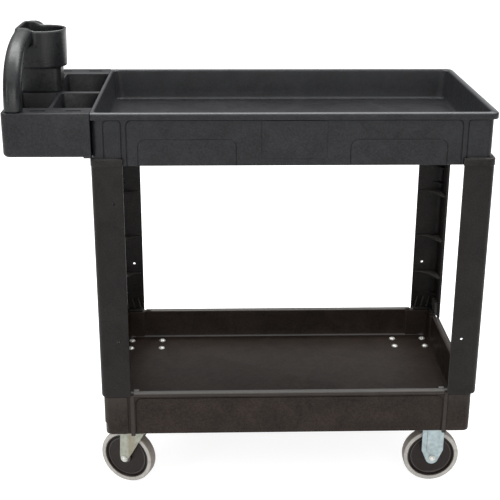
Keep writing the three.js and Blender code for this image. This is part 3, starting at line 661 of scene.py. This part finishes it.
def make_lower_tray():
    wall = (LOWER_X0 + 1, LOWER_X1 - 1, -Y_SIDE + 8, Y_SIDE - 8)
    xs = np.concatenate([
        stations(wall[0] + WALL_CORNER, -252, 6), stations(-251, -235, 0.8), stations(-234, 406, 6),
        stations(407, 425.5, 0.8), stations(426.5, wall[1] - WALL_CORNER, 6)])
    ys = stations(wall[2] + WALL_CORNER, wall[3] - WALL_CORNER, 6, [-166, 166])
    skirt, rim, floor = LOWER_SKIRT_Z, LOWER_RIM_Z, LOWER_FLOOR_Z
    under = floor - WALL
    heights = np.concatenate([stations(skirt + 1.8, 224, 6), stations(225, rim - 3, 0.9)])
    stages = inset_stages(wall, [(under, 11), (under - 0.6, 8), (under - 4, 6.6), (skirt + 1, 5.6),
                                 (skirt, 4.6)])
    stages += inset_stages(wall, [(skirt, 1.8), (skirt + 0.6, 0.6)] + [(z, 0) for z in heights], lower_recess)
    stages += inset_stages(wall, [(rim - 1.6, 0.4), (rim - 0.5, 1.5), (rim, 3.2)])
    inner = lambda extra: (LOWER_X0 + 12 + extra, LOWER_X1 - 10.5 - extra,
                           -Y_SIDE + 18.5 + extra, Y_SIDE - 20 - extra)
    stages += [stage(z, inner(extra), radius) for z, extra, radius in (
        (rim, -2.8, 16), (rim - 0.6, -1.2, 17), (rim - 2, 0, 18), (floor + 20, 2.6, 20), (floor + 6, 3.8, 22),
        (floor + 2.6, 4.8, 22), (floor + 0.8, 6.2, 21), (floor, 8.6, 19))]
    solids = [tray_shell(wall, stages, xs, ys)]
    for _, sx, sy in CORNERS:
        solids += lower_corner(sx, sy)
    for side in (-1, 1):
        solids += [rim_bead(side), end_rim(side)]
        solids += [bar(x - 4.6, x + 4.6, side * (Y_SIDE - 6.2), side * (Y_SIDE - 16),
                       LOWER_LOW.z + 0.2, rim - 5, 1.6, 0.9) for x in (-257, 430.8)]
    for x, y in CASTER_PLACES.values():
        solids.append(bar(x - 50, x + 50, y - 34, y + 34, skirt, under + 1, 8, 1))
        for bx in (-BOLT_HALF[0], BOLT_HALF[0]):
            for by in (-BOLT_HALF[1], BOLT_HALF[1]):
                seat = turned([(0, -1), (9.5, -1), (9.5, SEAT * 0.5), (9.2, SEAT), (0, SEAT)], 40)
                solids.append(moved(seat, (x + bx, y + by, floor)))
    made = new_object("lower_tray_shell", joined(*solids), 28)

    # Painted highlights: a pale crest along the long rims, stronger on the front one, a pale rim top, and a
    # pale line at the foot of the back inner wall.
    def painted_highlights(x, y, z):
        crest = np.where(y < 0, 0.46, 0.3) * smooth((z - rim + 1.4) / 1.2) * (np.abs(y) > Y_SIDE - 20)
        foot = (y > Y_SIDE - 30) & (np.abs(z - floor - 2.6) < 0.1)
        return crest + 0.08 * smooth((z - rim + 1.2) / 0.8) + 0.42 * foot

    mark(made, "painted_highlight", painted_highlights)
    dress(made, LOWER_FOAM, "lower_foam_plastic", nodes=["lower_tray"])


def lower_corner(sx, sy):
    """A rounded outer corner block, the post inside the tray that holds a leg's tongue, and its stop."""
    outer = LOWER_X0 if sx > 0 else LOWER_X1
    side = -sy * Y_SIDE

    def plan(inset, step=0.0):
        end = inset * 0.3
        corners = [(inset + step, 3 + inset), (52 - end, 3 + inset), (52 - end, 15), (11.5 + step, 15),
                   (11.5 + step, 62 - end), (inset + step, 62 - end)]
        return mirrored(right_angled(corners, [11, 5, 1, 3, 1, 5], 6), sx, sy, (outer, side))

    step = 3.6 if sx > 0 else 0.0
    levels = [(LOWER_SKIRT_Z + rise, plan(inset, step))
              for rise, inset in ((0, 6.5), (0.9, 3.4), (2.8, 1.2), (6, 0.2))]
    levels += [(187, plan(0, step)), (187.6, plan(0, 0)), (LEG_FOOT_Z - 1.6, plan(0)),
               (LEG_FOOT_Z - 0.4, plan(0.9))]
    leg_x = LEG_LOW.x if sx > 0 else X_END
    reach = 68 if sx > 0 else 83

    def post(inset):
        corners = [(10, 10), (reach - inset, 10), (reach - inset, 25 - inset), (25 - inset, 25 - inset),
                   (25 - inset, 66 - inset), (10, 66 - inset)]
        return mirrored(right_angled(corners, [8, 0.6, 5, 10, 5, 0.6], 5), sx, sy, (leg_x, side))

    top = LOWER_RIM_Z - 1.2
    return [
        loft(levels),
        loft([(LOWER_FLOOR_Z - 2, post(-0.8)), (LOWER_FLOOR_Z + 3, post(0)), (top - 1.2, post(0.4)),
              (top - 0.3, post(0.9)), (top, post(1.8))]),
        bar(leg_x + sx * 70, leg_x + sx * 82, side + sy * 13, side + sy * 21,
            LOWER_RIM_Z - 3, LOWER_RIM_Z + 3.4, 2.5, 1.1),
    ]


def carried(section, centre, stops, place):
    """A section carried along stops of (position, size), and place(u, along, v) puts each ring in space."""
    rings = []
    for position, size in stops:
        u, v = ((np.array(section) - centre) * size + centre).T
        rings.append(np.column_stack(place(u, np.full(len(u), position), v)))
    return skin(rings)


def rim_bead(side):
    """The rounded bead along a long wall's rim, between the legs."""
    section = [(-232.6, 250.4), (-233.4, 252.2), (-233.4, 255.2), (-232.6, 257.2), (-231, 258.4),
               (-228.5, 258.8), (-222, 258.6), (-220, 257.8), (-219.4, 256), (-219.4, 250)]
    stops = [(-253.4, 0.82), (-252.6, 0.95), (-250.8, 1.0), (423.2, 1.0), (425, 0.95), (425.8, 0.82)]
    return carried(section, (-226.5, 254), stops, lambda u, along, v: (along, u * -side, v))


def end_rim(side):
    """The outward rim of an end wall, between the legs."""
    root = LOWER_X0 + 4 if side < 0 else LOWER_X1 - 4
    section = [(0, 244.5), (7.5, 245), (9.6, 246.4), (10.6, 249), (10.8, 253), (9.8, 255.8), (7.4, 257.2),
               (0, 257.6)]
    stops = [(-169.2, 0.86), (-168.1, 0.96), (-166.2, 1.0), (166.2, 1.0), (168.1, 0.96), (169.2, 0.86)]
    return carried(section, (5, 251), stops, lambda u, along, v: (root + side * u, along, v))


# ---- legs ----

LEG_WIDTH = 66
LEG_DEPTH = 68
LEG_R = 15
LEG_WEBS = (571, 453, 355)
WEB_T = 4
# along the face, height, radius, and how far the countersink stands out
LEG_HOLES = [(43, 383, 3, 0.2), (45, 691, 2.3, 0.6)]


def channel(outer, inner, end):
    """The leg's angle section with its outside, inside and free ends drawn in by these amounts."""
    thick = WALL - inner
    tip = min(1.5, (thick - outer) * 0.48)
    corners = [(outer, outer), (LEG_WIDTH - end, outer), (LEG_WIDTH - end, thick), (thick, thick),
               (thick, LEG_DEPTH - end), (outer, LEG_DEPTH - end)]
    return right_angled(corners, [LEG_R - outer, tip, tip, LEG_R - thick, tip, tip], 7)


def leg_web(z, reach, thickness):
    t = np.linspace(0, 1, 9)[:, None]
    start, pull, end = np.array([reach, 9]), np.array([reach * 0.4, reach * 0.4]), np.array([9, reach])
    curve = (1 - t) ** 2 * start + 2 * t * (1 - t) * pull + t ** 2 * end
    outline = np.concatenate([[(WALL - 1, WALL - 1), (reach, WALL - 1)], curve, [(WALL - 1, reach)]])
    return softened(extrude(outline, z, z + thickness), 0.8)


def leg_fins():
    """Slanted stiffening fins on both inside faces, just above the lower tray."""
    foot = LOWER_RIM_Z + 0.8
    fins = []
    for along, mirror in ((26, False), (41, False), (56, False), (28, True), (44, True), (60, True)):
        outline = np.array([(along, foot), (along + 2.6, foot), (along - 4.6, foot + 31),
                            (along - 7, foot + 31)])
        points, faces = across(extrude(outline, -WALL - 8, -WALL + 1))
        fins.append(softened((points[:, [1, 0, 2]] if mirror else points, faces), 0.5, 1))
    return fins


LEG_LEVELS = [
    (LEG_FOOT_Z, 4.6, 0.5, 3.4), (LEG_FOOT_Z + 0.5, 3.4, 0.2, 2.6), (LEG_FOOT_Z + 1.8, 2.1, 0, 1.8),
    (LEG_FOOT_Z + 3.8, 1.3, 0, 1.2), (LEG_FOOT_Z + 6, 1.1, 0, 1.0),
    (LEG_STEP_Z - 0.5, 1.1, 0, 1.0), (LEG_STEP_Z, 0.8, 0, 0.7), (LEG_STEP_Z + 0.5, 0.2, 0, 0.1),
    (LEG_STEP_Z + 1.2, 0, 0, 0), (LEG_TOP_Z - 2.4, 0, 0, 0), (LEG_TOP_Z - 1.1, 0.3, 0.15, 0.3),
    (LEG_TOP_Z - 0.3, 1.2, 0.5, 1.0), (LEG_TOP_Z, 2.2, 0.9, 1.8),
]


def leg_solid(upper_hole):
    levels = []
    for (z, *insets), following in zip(LEG_LEVELS, LEG_LEVELS[1:] + [None]):
        levels.append((z, channel(*insets)))
        if following and following[0] - z > 50:
            levels += [(height, channel(*insets)) for height in np.arange(z + 40, following[0] - 20, 40)]
    body = new_object("leg", loft(levels))
    sink = across(loft([(-2, circle(2.3, 24)), (2, circle(5.2, 24))]))
    holes = []
    for along, height, radius, proud in LEG_HOLES[:2 if upper_hole else 1]:
        holes += [moved(across(drill(radius, 30)), (along, 0, height)), moved(sink, (along, proud, height))]
    carve(body, holes)
    shelf = right_angled([(5, 5), (62, 5), (62, 24), (24, 24), (24, 62), (5, 62)], [8, 0.5, 3, 8, 3, 0.5])
    post = [(z, rectangle(17 + i, 50 - i, 17 + i, 50 - i, 6))
            for z, i in ((696, 0.6), (696.6, 0), (UPPER_FLOOR_Z - 8, 0))]
    return joined(
        as_solid(body),
        *(leg_web(z, 60, WEB_T) for z in (*LEG_WEBS, 692)),
        *(leg_web(z, 28, 2.5) for z in (634, 594, 300)),
        *leg_fins(),
        softened(extrude(shelf, LOWER_RIM_Z + 0.6, LOWER_RIM_Z + 4.6), 0.7),
        loft(post),
    )


def make_legs():
    # Painted highlights on the top edge of the collar and on the top faces of the webs.
    def painted_highlights(x, y, z):
        return 0.22 * (z > LEG_TOP_Z - 0.6) + 0.3 * sum(np.abs(z - web - WEB_T) < 0.1 for web in LEG_WEBS)

    for ends, upper_hole in (("left", True), ("right", False)):
        points, faces = leg_solid(upper_hole)
        for name, sx, sy in CORNERS:
            if name.endswith(ends):
                leg = moved((points, faces), (*leg_corner(name, sx, sy), 0), scale=(sx, sy, 1))
                made = new_object(f"leg_{name}_upright", leg, 30)
                mark(made, "painted_highlight", painted_highlights)
                dress(made, LEG_FOAM, "leg_plastic", nodes=[f"leg_{name}"])


# ---- tool console ----

FLANGE = 53
POCKET = 22


def make_console():
    x0, x1 = CONSOLE_LOW.x, CONSOLE_HIGH.x
    z0, z1 = CONSOLE_LOW.z, CONSOLE_HIGH.z
    side = Y_SIDE
    plan = lambda inset, wall=0.0: rectangle(
        x0 + wall + inset, x1 - wall, -side + wall + inset, side - wall - inset,
        [max(16 - wall - inset, 2), 0.6, 0.6, max(16 - wall - inset, 2)], 8)
    foot = 9
    levels = [(z0 + foot * (1 - math.cos(a)), plan(foot * (1 - math.sin(a))))
              for a in np.linspace(0.28, math.pi / 2, 7)]
    levels += [(z1 - 3, plan(0)), (z1 - 1.4, plan(0.3)), (z1 - 0.5, plan(0.9)), (z1, plan(2.1))]
    body = new_object("console", loft(levels))
    inner = loft([(z0 - 2, plan(0, WALL)), (z1 - WALL - 2, plan(0, WALL)), (z1 - WALL, plan(2, WALL))])
    rear_end = side - FLANGE - 11
    wells = [
        (x0 + 12, x0 + 89, -side + FLANGE, -43),
        (x0 + 97, x1 + 2, -side + FLANGE, -43),
        (x0 + 91, x1 + 2, -24, 50),
        (x0 + 81, x1 + 2, 43, rear_end),
        (x0 + 12, x0 + 75, 43, rear_end),
    ]
    floor = z0 + 11
    cups = [extrude(rectangle(a - 4, min(b + 4, x1 - 0.2), c - 4, d + 4, 6), floor - 4, z1 - WALL + 1)
            for a, b, c, d in wells]
    carve(body, [inner])
    carve(body, cups, "UNION")

    def well(a, b, c, d):
        beyond = b > x1
        right = 0.6 if beyond else 8
        shape = lambda inset: rectangle(a + inset, b - (0 if beyond else inset), c + inset, d - inset,
                                        [8, right, right, 8], 6)
        return loft([(floor, shape(3.4)), (floor + 0.8, shape(1.8)), (floor + 3, shape(0.6)),
                     (z1 + 1, shape(-0.6))])

    def slot(x, s, grow=0.0):
        half_x, half_y = SLOT_HALF
        return rectangle(x0 + x - half_x - grow, x0 + x + half_x + grow,
                         s * SLOT_Y - half_y - grow, s * SLOT_Y + half_y + grow, 3.6 + grow, 6)

    carve(body, [extrude(slot(x, s, 2.5), z1 - POCKET - 2, z1 - WALL + 1) for x, s in SLOTS], "UNION")
    carve(body, [well(*w) for w in wells])
    round_edges(body, 1.0, 2, 38)
    carve(body, [extrude(slot(x, s), z1 - POCKET, z1 + 2) for x, s in SLOTS])
    nubs = [bar(x1 - 15.5, x1 - 0.4, s * (side - 2.5), s * (side - 14), z0 - 1.6, z0 + 4, 2, 0.8)
            for s in (-1, 1)]
    made = new_object("console_shell", joined(as_solid(body), *nubs), 30)
    pits = wells + [(x0 + x - SLOT_HALF[0], x0 + x + SLOT_HALF[0],
                     s * SLOT_Y - SLOT_HALF[1], s * SLOT_Y + SLOT_HALF[1]) for x, s in SLOTS]

    # Painted shade: the wells and slots grow darker towards their bottoms.
    def depth(x, y, z):
        inside = np.zeros(len(x), bool)
        for a, b, c, d in pits:
            inside |= (x > a - 0.5) & (x < b + 0.5) & (y > c - 0.5) & (y < d + 0.5)
        return inside * (0.5 * smooth(z1 - 0.2 - z) + 0.4 * smooth((z1 - z) / 60))

    mark(made, "painted_shade", depth)
    dress(made, UPPER_FOAM, "upper_foam_plastic", nodes=["handle_console"])


# ---- push handle: one blended form ----

def surface_net(field, origin, pitch):
    """The zero surface of a sampled field, with one point in each cell that it crosses."""
    inside = field < 0
    cells_shape = np.array(field.shape) - 1
    count = np.zeros(cells_shape, np.int8)
    for i, j, k in np.ndindex(2, 2, 2):
        count += inside[i:cells_shape[0] + i, j:cells_shape[1] + j, k:cells_shape[2] + k]
    cells = np.argwhere((count > 0) & (count < 8))
    index = np.full(cells_shape, -1)
    index[tuple(cells.T)] = np.arange(len(cells))
    total, weight = np.zeros((len(cells), 3)), np.zeros(len(cells))
    unit = np.eye(3, dtype=int)
    for axis, a, b in np.ndindex(3, 2, 2):
        start = cells + a * unit[(axis + 1) % 3] + b * unit[(axis + 2) % 3]
        first, second = field[tuple(start.T)], field[tuple((start + unit[axis]).T)]
        crossed = (first < 0) != (second < 0)
        share = np.where(crossed, first / np.where(crossed, first - second, 1), 0)
        total += np.where(crossed[:, None], start + share[:, None] * unit[axis], 0)
        weight += crossed
    faces = []
    for axis in range(3):
        u, v = unit[(axis + 1) % 3], unit[(axis + 2) % 3]
        edges = np.argwhere(np.diff(inside, axis=axis))
        edges = edges[np.all(edges - u - v >= 0, axis=1) & np.all(edges < cells_shape, axis=1)]
        quads = np.column_stack([index[tuple(e.T)] for e in (edges, edges - u, edges - u - v, edges - v)])
        outside = ~inside[tuple(edges.T)]
        quads[outside] = quads[outside][:, ::-1]
        faces += quads.tolist()
    return total / weight[:, None] * pitch + origin, faces


def soft_min(a, b, k):
    h = np.clip(0.5 + 0.5 * (b - a) / k, 0, 1)
    return b + (a - b) * h - k * h * (1 - h)


def soft_max(a, b, k):
    return -soft_min(-a, -b, k)


def plan_distance(x, y, x0, x1, half, left_radius, right_radius):
    """Distance outside a plan outline with different corner radii at its two ends."""
    radius = np.where(x > (x0 + x1) / 2, right_radius, left_radius)
    return box_distance(x, y, (x0, x1, -half, half, radius))


def make_push_handle():
    pitch = 1.6
    x_face = CONSOLE_LOW.x
    base = HANDLE_LOW.z
    arch_x = x_face + 24.3
    half_span, half_section, corner = 215, 18, 14
    squareness = 2.65
    crown = HANDLE_HIGH.z - half_section - 0.2
    xs = np.arange(HANDLE_LOW.x - 4, HANDLE_HIGH.x + 5, pitch)
    ys = np.arange(HANDLE_LOW.y - 5, HANDLE_HIGH.y + 6, pitch)
    zs = np.arange(base - 4, HANDLE_HIGH.z + 7, pitch)

    angle = np.linspace(0, math.pi, 700)
    power = 2 / squareness
    root = base - 6
    line_y = half_span * np.sign(np.cos(angle)) * np.abs(np.cos(angle)) ** power
    line_z = root + (crown - root) * np.sin(angle) ** power
    y, z = np.meshgrid(ys, zs, indexing="ij")
    away = np.full(y.shape, 1e9)
    for py, pz in zip(line_y, line_z):
        away = np.minimum(away, np.hypot(y - py, z - pz))
    height = np.maximum(z - root, 0) / (crown - root)
    outside = (np.abs(y) / half_span) ** squareness + height ** squareness > 1
    away = np.where(outside, away, -away)

    x = xs[:, None, None]
    section = (-half_section, half_section, -half_section, half_section, corner)
    arch = box_distance(x - arch_x, away[None], section)

    y, z = ys[None, :, None], zs[None, None, :]
    cup_foot, cup_floor, column_top, shaft_top = 930.5, 937, 940, 950
    rise = np.clip((z - 932) / 77, 0, 1)
    rim = 1009 + 5 * smooth((x_face + 44 - x) / 26)
    outline = plan_distance(x, y, x_face + 9, x_face + 105.5 + rise, 48.5 + 3.5 * rise, 6, 46)
    cup = soft_max(soft_max(outline, z - rim, 2.0), cup_foot - z, 2.0)
    column = soft_max(plan_distance(x, y, x_face + 9, x_face + 95, 32, 6, 14), z - column_top, 1.0)
    solid = soft_min(soft_min(arch, cup, 9.0), column, 1.2)
    bowl = plan_distance(x, y, x_face + 16, x_face + 100.5 + rise, 43.5 + 3.5 * rise, 10, 41)
    bowl = soft_max(bowl, cup_floor - z, 3.0)
    shaft = soft_max(plan_distance(x, y, x_face + 15, x_face + 89, 26, 9, 9), base + 8 - z, 3.0)
    shaft = np.maximum(shaft, z - shaft_top)
    solid = soft_max(solid, -soft_min(bowl, shaft, 2.0), 2.4)
    solid = soft_max(solid, z - HANDLE_HIGH.z + 0.4, 1.0)
    solid = soft_max(solid, base - z, 0.8)
    points, faces = surface_net(solid, np.array([xs[0], ys[0], zs[0]]), pitch)
    made = new_object("push_handle_arch", (points, faces), 50)
    relax = made.modifiers.new("relax", "SMOOTH")
    relax.factor, relax.iterations = 0.5, 2
    apply_modifiers(made)
    tidy(made.data, 50)
    # Painted highlight on the cup's rim, on the side away from the arch.
    mark(made, "painted_highlight", lambda x, y, z: 0.16 * (x > x_face + 44) * smooth((z - 1004) / 3))
    dress(made, HANDLE_FOAM, "upper_foam_plastic", nodes=["push_handle"])


# ---- casters ----

SWIVEL_BODIES = {"front_swivel": "swivel_front", "rear_swivel": "swivel_rear"}
SWIVEL_TURN = {
    joint["child"]: -math.degrees(math.atan2(joint["axis"][0], joint["axis"][1]))
    for joint in frame["joints"] if joint["child"].endswith("_swivel")
}


def dome(radius, height, base):
    """Profile points of a domed head from its centre to its rim."""
    return [(radius * math.sin(a), base + height * math.cos(a)) for a in np.linspace(0, math.pi / 2, 7)]


def hex_prism(radius, z0, z1):
    return softened(extrude(circle(radius, 6, math.pi / 6), z0, z1), 0.5)


def mount_bolt():
    top = LOWER_FLOOR_Z + SEAT + PLAY
    under = PLATE_TOP_Z - PLATE_T - PLAY
    profile = dome(7.9, 4.0, top + 0.8) + [
        (8, top + 0.3), (7.6, top), (4, top), (4, under - 9.4), (3.4, under - 10), (0, under - 10)]
    return joined(turned(profile, 32), hex_prism(7.5, under - 7, under))


def plate(outline, face, thickness):
    """A pressed plate drawn in X and Z, its inner face at y = face and its thickness toward -Y."""
    x, z = np.array(outline, float).T
    return skin([np.column_stack([x, np.full(len(x), float(y)), z]) for y in (face - thickness, face)])


def arc_points(cx, cz, radius, start, end, steps):
    angles = np.radians(np.linspace(start, end, steps))
    return [(cx + radius * math.cos(a), cz + radius * math.sin(a)) for a in angles]


def fork_gusset(fold, top):
    """A fork arm's side flange, which bends inward from the arm's edge and tapers down to the axle."""
    rings = []
    for x in (-19.6, -18, -16.5, -15, -13.5, -12, -10.5, -9, -4, 2, 8, 14, 19):
        low = np.interp(x, (fold, 19), (WHEEL_R + 2, top - 8))
        outer = -22.2 + 4.6 * smooth((x - fold + 1) / 9)
        rings.append(np.array([
            (x, outer + 2.1, low), (x, outer + 2.6, low + 0.6), (x, outer + 2.6, top),
            (x, outer, top), (x, outer, low + 0.6), (x, outer + 0.5, low)]))
    return skin(rings)


def fork_solid():
    top = PLATE_TOP_Z - PLATE_T - BEARING_T - 0.6
    fold = -17
    tip = arc_points(-TRAIL, WHEEL_R, 9.4, 178, 338, 9)
    strip = [(fold, top), (-35.6, top), (-38.6, 72)] + tip + [(fold, 72)]
    axle_hole = moved(across(drill(AXLE_HOLE_R, 80)), (-TRAIL, 0, WHEEL_R))
    pin_hole = moved(drill(PIN_HOLE_R, 40), (0, 0, top))
    solids = []
    for arm in (softened(plate(strip, -SWIVEL_ARMS[0], 3), 0.7), fork_gusset(fold, top)):
        solids += mirrored_pair(bored(arm, [axle_hole]))
    lip = turned([(0, top - 4), (27, top - 4), (28, top - 3), (28, top - 0.6), (27.4, top), (0, top)], 48)
    crown = softened(extrude(rectangle(-36, 22, -22.4, 22.4, 4), top - 4, top), 1)
    return joined(bored(crown, [pin_hole]), bored(lip, [pin_hole]), *solids)


def bracket_solid():
    top = PLATE_TOP_Z
    arm = [(24.5, top - 1), (-24.5, top - 1), (-24.5, 84)] + arc_points(0, WHEEL_R, 14.6, 212, 328, 11)
    panel = [(13.8, top - 6), (-13.8, top - 6), (-13.8, 88)] + arc_points(0, 88, 13.8, 190, 350, 9)
    axle_hole = moved(across(drill(AXLE_HOLE_R, 80)), (0, 0, WHEEL_R))
    solids = mirrored_pair(bored(softened(plate(arm + [(24.5, 84)], -RIGID_ARMS[0], 3), 0.9, 3), [axle_hole]))
    solids += mirrored_pair(softened(plate(panel + [(13.8, 88)], -22.9, 3.8), 1.8, 4))
    return joined(mount_plate(), *solids)


def mount_plate(extra_holes=()):
    outline = rectangle(-46, 46, -30, 30, 7)
    blank = softened(extrude(outline, PLATE_TOP_Z - PLATE_T, PLATE_TOP_Z), 0.8)
    bolt_holes = [moved(drill(4.5, 40), (a * BOLT_HALF[0], b * BOLT_HALF[1], PLATE_TOP_Z))
                  for a in (-1, 1) for b in (-1, 1)]
    return bored(blank, [*bolt_holes, *extra_holes])


def both_sides(half):
    """A wheel part turned about Z from one side's profile, from the bore or rim outward."""
    return turned(half + [(r, -h) for r, h in reversed(half)], 96)


def hub_solid():
    return both_sides([
        (8.8, 17.5), (12.2, 17.5), (13, 16.8), (14.4, 9.4), (16, 8.4), (24, 7.9), (42.6, 7.7), (44.2, 8.4),
        (45.6, 8.9), (46.6, 8.6), (47.4, 7.6), (49.2, 7.4), (50.6, 9.6), (51.4, 11.0), (52.2, 11.5),
        (53, 11.5), (53.4, 11)])


def tyre_solid():
    return both_sides([
        (53.8, 11.6), (54.3, 12.2), (55.6, 12.5), (60.8, 12.4), (61.9, 12.0), (62.7, 11.1), (63.2, 9.6),
        (63.45, 7), (63.5, 2.5)])


def bolt_solid(arm_out):
    """An axle bolt along Z, its domed head at +Z."""
    face, end = arm_out + PLAY, -arm_out - 9.4
    return turned(dome(5.7, 3.5, face + 2.4) + [
        (6.0, face + 1.8), (7.3, face + 1.5), (7.5, face + 0.6), (7.3, face),
        (5, face), (5, -arm_out - 8.4), (4.2, end), (0, end)], 40)


def nut_solid(arm_out):
    face = arm_out + PLAY
    return bored(hex_prism(8.2, face, face + 6.6), [drill(5.4, 120)])


def sleeve_solid(half):
    return turned([(5.4, -half), (8.2, -half), (8.2, half), (5.4, half)], 40)


def mark_rings(made, quality, centre, axis, share):
    """Stores a quality by the distance of each point from an axle, share(radius) in millimetres."""
    def around(x, y, z):
        points = np.column_stack([x, y, z]) - centre
        along = points @ axis
        return share(np.linalg.norm(points - along[:, None] * axis, axis=1))

    mark(made, quality, around)


def bearing_and_pin():
    """The bearing ring under a swivel plate, and the kingpin through both."""
    top, race = PLATE_TOP_Z, PLATE_TOP_Z - PLATE_T - PLAY
    ring = race - BEARING_T
    bearing = turned([(6.5, ring), (24.6, ring), (27, race - 13), (28, race - 10.6), (28, race - 8),
                      (26.6, race - 5.5), (24, race - 3), (23, race), (6.5, race)], 64)
    crown = ring - 0.3 - 4
    pin = [(r, 2 * (crown - 1.2) - h) for r, h in dome(9.4, 4.6, crown - 1.2)]
    pin += [(9.4, crown - PLAY), (6, crown - PLAY), (6, top + 0.3), (9, top + 0.3), (8.4, top + 2.2),
            (6, top + 3), (0, top + 3)]
    return bearing, turned(pin, 40)


def make_caster(name):
    swivels = name.endswith("swivel")
    x, y = CASTER_PLACES[name]
    turning_body = SWIVEL_BODIES[name] if swivels else "cart"
    wheel_body = f"wheel_{name}"
    turn = Matrix.Rotation(math.radians(SWIVEL_TURN[wheel_body]) if swivels else 0.0, 4, "Z")
    plated = (SWIVEL_ZINC if swivels else RIGID_ZINC, "zinc_steel")
    bright = (BOLT_ZINC, "bolt_steel")
    axle = turn @ Vector((-TRAIL if swivels else 0, 0, 0)) + Vector((x, y, WHEEL_R))
    lay = Matrix.Rotation(math.radians(90), 4, "X")
    arm_in, arm_out = SWIVEL_ARMS if swivels else RIGID_ARMS

    def piece(part, solid, look, body="cart", crease=CREASE):
        made = new_object(f"{name}_{part}_piece", solid, crease)
        return dress(made, *look, body, [f"{name}_{part}"])

    def here(solid, dx=0, dy=0):
        return moved(solid, (x + dx, y + dy, 0))

    def on_axle(solid):
        return moved(solid, axle, turn @ lay)

    if swivels:
        bearing, pin = bearing_and_pin()
        pin_hole = moved(drill(PIN_HOLE_R, 40), (0, 0, PLATE_TOP_Z))
        piece("top_plate", here(mount_plate([pin_hole])), plated)
        piece("bearing", here(bearing), plated)
        piece("kingpin", here(pin), bright)
        fork = piece("fork", moved(fork_solid(), (x, y, 0), turn), plated, turning_body)
        ahead = turn @ Vector((1, 0, 0))

        # Painted shade: brownish darkening across the fork arm's fold, where the flange turns away from the
        # light.
        def in_the_bend(px, py, pz):
            along = (px - x) * ahead.x + (py - y) * ahead.y
            return 0.55 * smooth((along + 17.5) / 3) * (1 - smooth((along + 8) / 14))

        mark(fork, "painted_fold_shade", in_the_bend)
    else:
        piece("bracket", here(bracket_solid()), plated)

    piece("axle_bolt", on_axle(bolt_solid(arm_out)), bright, turning_body)
    nut = moved(nut_solid(arm_out), turn=Matrix.Rotation(math.pi, 4, "X"))
    piece("axle_nut", on_axle(nut), bright, turning_body)
    piece("axle_sleeve", on_axle(sleeve_solid(arm_in - 0.5)), plated, turning_body)
    hub = piece("wheel_hub", on_axle(hub_solid()), (HUB_PLASTIC, "hub_plastic"), wheel_body, 24)
    tyre = piece("tyre", on_axle(tyre_solid()), (TYRE, "tyre_rubber"), wheel_body, 40)
    line = np.array(turn @ Vector((0, 1, 0)))
    # Painted highlight: a thin pale ring on the hub's bead, standing in for a reflection.
    mark_rings(hub, "painted_highlight", np.array(axle), line, lambda r: 0.2 * (np.abs(r - 45.6) < 0.3))
    mark_rings(tyre, "tread", np.array(axle), line, lambda r: smooth((r - 61.6) / 1.2))
    spots = [(a * BOLT_HALF[0], b * BOLT_HALF[1]) for b in (-1, 1) for a in (-1, 1)]
    for i, (bx, by) in enumerate(spots):
        piece(f"mount_bolt_{i + 1}", here(mount_bolt(), bx, by), bright)


# ---- the scene around the cart ----

def make_camera():
    lens = bpy.data.cameras.new("camera")
    lens.sensor_width = 36
    lens.lens = 76.985
    lens.clip_end = 200
    camera = bpy.data.objects.new("camera", lens)
    yaw, pitch, roll = 0.03157, 0.35157, 0.00476
    forward = Vector((math.sin(yaw) * math.cos(pitch), math.cos(yaw) * math.cos(pitch),
                      -math.sin(pitch)))
    level = Vector((math.cos(yaw), -math.sin(yaw), 0))
    above = level.cross(forward)
    right = math.cos(roll) * level + math.sin(roll) * above
    up = -math.sin(roll) * level + math.cos(roll) * above
    turn = Matrix((right, up, -forward)).transposed().to_4x4()
    camera.matrix_world = Matrix.Translation((-0.067512, -2.307906, 1.34995)) @ turn
    bpy.context.scene.collection.objects.link(camera)
    bpy.context.scene.camera = camera


def make_light(name, place, target, size, power):
    lamp = bpy.data.lights.new(name, "AREA")
    lamp.shape = "RECTANGLE"
    lamp.size, lamp.size_y = size
    lamp.energy = power
    made = bpy.data.objects.new(name, lamp)
    made.location = place
    made.rotation_mode = "QUATERNION"
    made.rotation_quaternion = (Vector(target) - Vector(place)).to_track_quat("-Z", "Y")
    bpy.context.scene.collection.objects.link(made)


def make_studio():
    world = bpy.data.worlds.new("studio")
    world.use_nodes = True
    tree = world.node_tree
    background = tree.nodes["Background"]
    set_inputs(background, {"Color": (1, 1, 1, 1)})
    height = tree.nodes.new("ShaderNodeSeparateXYZ")
    tree.links.new(tree.nodes.new("ShaderNodeTexCoord").outputs["Generated"], height.inputs[0])
    overhead = tree.nodes.new("ShaderNodeMapRange")
    overhead.interpolation_type = "SMOOTHSTEP"
    set_inputs(overhead, {"From Min": 0.2, "From Max": 1.0, "To Min": 0.2, "To Max": 2.6})
    tree.links.new(height.outputs["Z"], overhead.inputs["Value"])
    tree.links.new(overhead.outputs["Result"], background.inputs["Strength"])
    bpy.context.scene.world = world
    bpy.context.scene.view_settings.view_transform = "Standard"

    material = bpy.data.materials.new("studio_floor")
    material.use_nodes = True
    set_inputs(material.node_tree.nodes["Principled BSDF"], {
        "Base Color": (0.4, 0.4, 0.4, 1), "Emission Color": (1, 1, 1, 1), "Emission Strength": 0.82,
        "Roughness": 0.9, "Specular IOR Level": 0.0})
    far = 30000
    points = [(-far, -far, 0), (far, -far, 0), (far, far, 0), (-far, far, 0)]
    floor = new_object("studio_floor", (points, [(0, 1, 2, 3)]))
    floor.data.materials.append(material)

    make_light("top_softbox", (0.1, 0.5, 3.0), (0, 0, 0.5), (3.0, 1.6), 110)
    make_light("front_softbox", (0.3, -4.2, 1.7), (0, 0, 0.5), (3.4, 2.0), 95)
    make_light("left_strip", (-2.6, -2.4, 1.7), (-0.45, 0, 0.9), (0.5, 1.8), 24)


make_camera()
make_studio()
make_upper_tray()
make_lower_tray()
make_legs()
make_console()
make_push_handle()
for caster in CASTER_PLACES:
    make_caster(caster)
for node, made in frame["nodes"].items():
    if "screw" in node:
        made.data.materials.clear()
        made.data.materials.append(BOLT_ZINC)
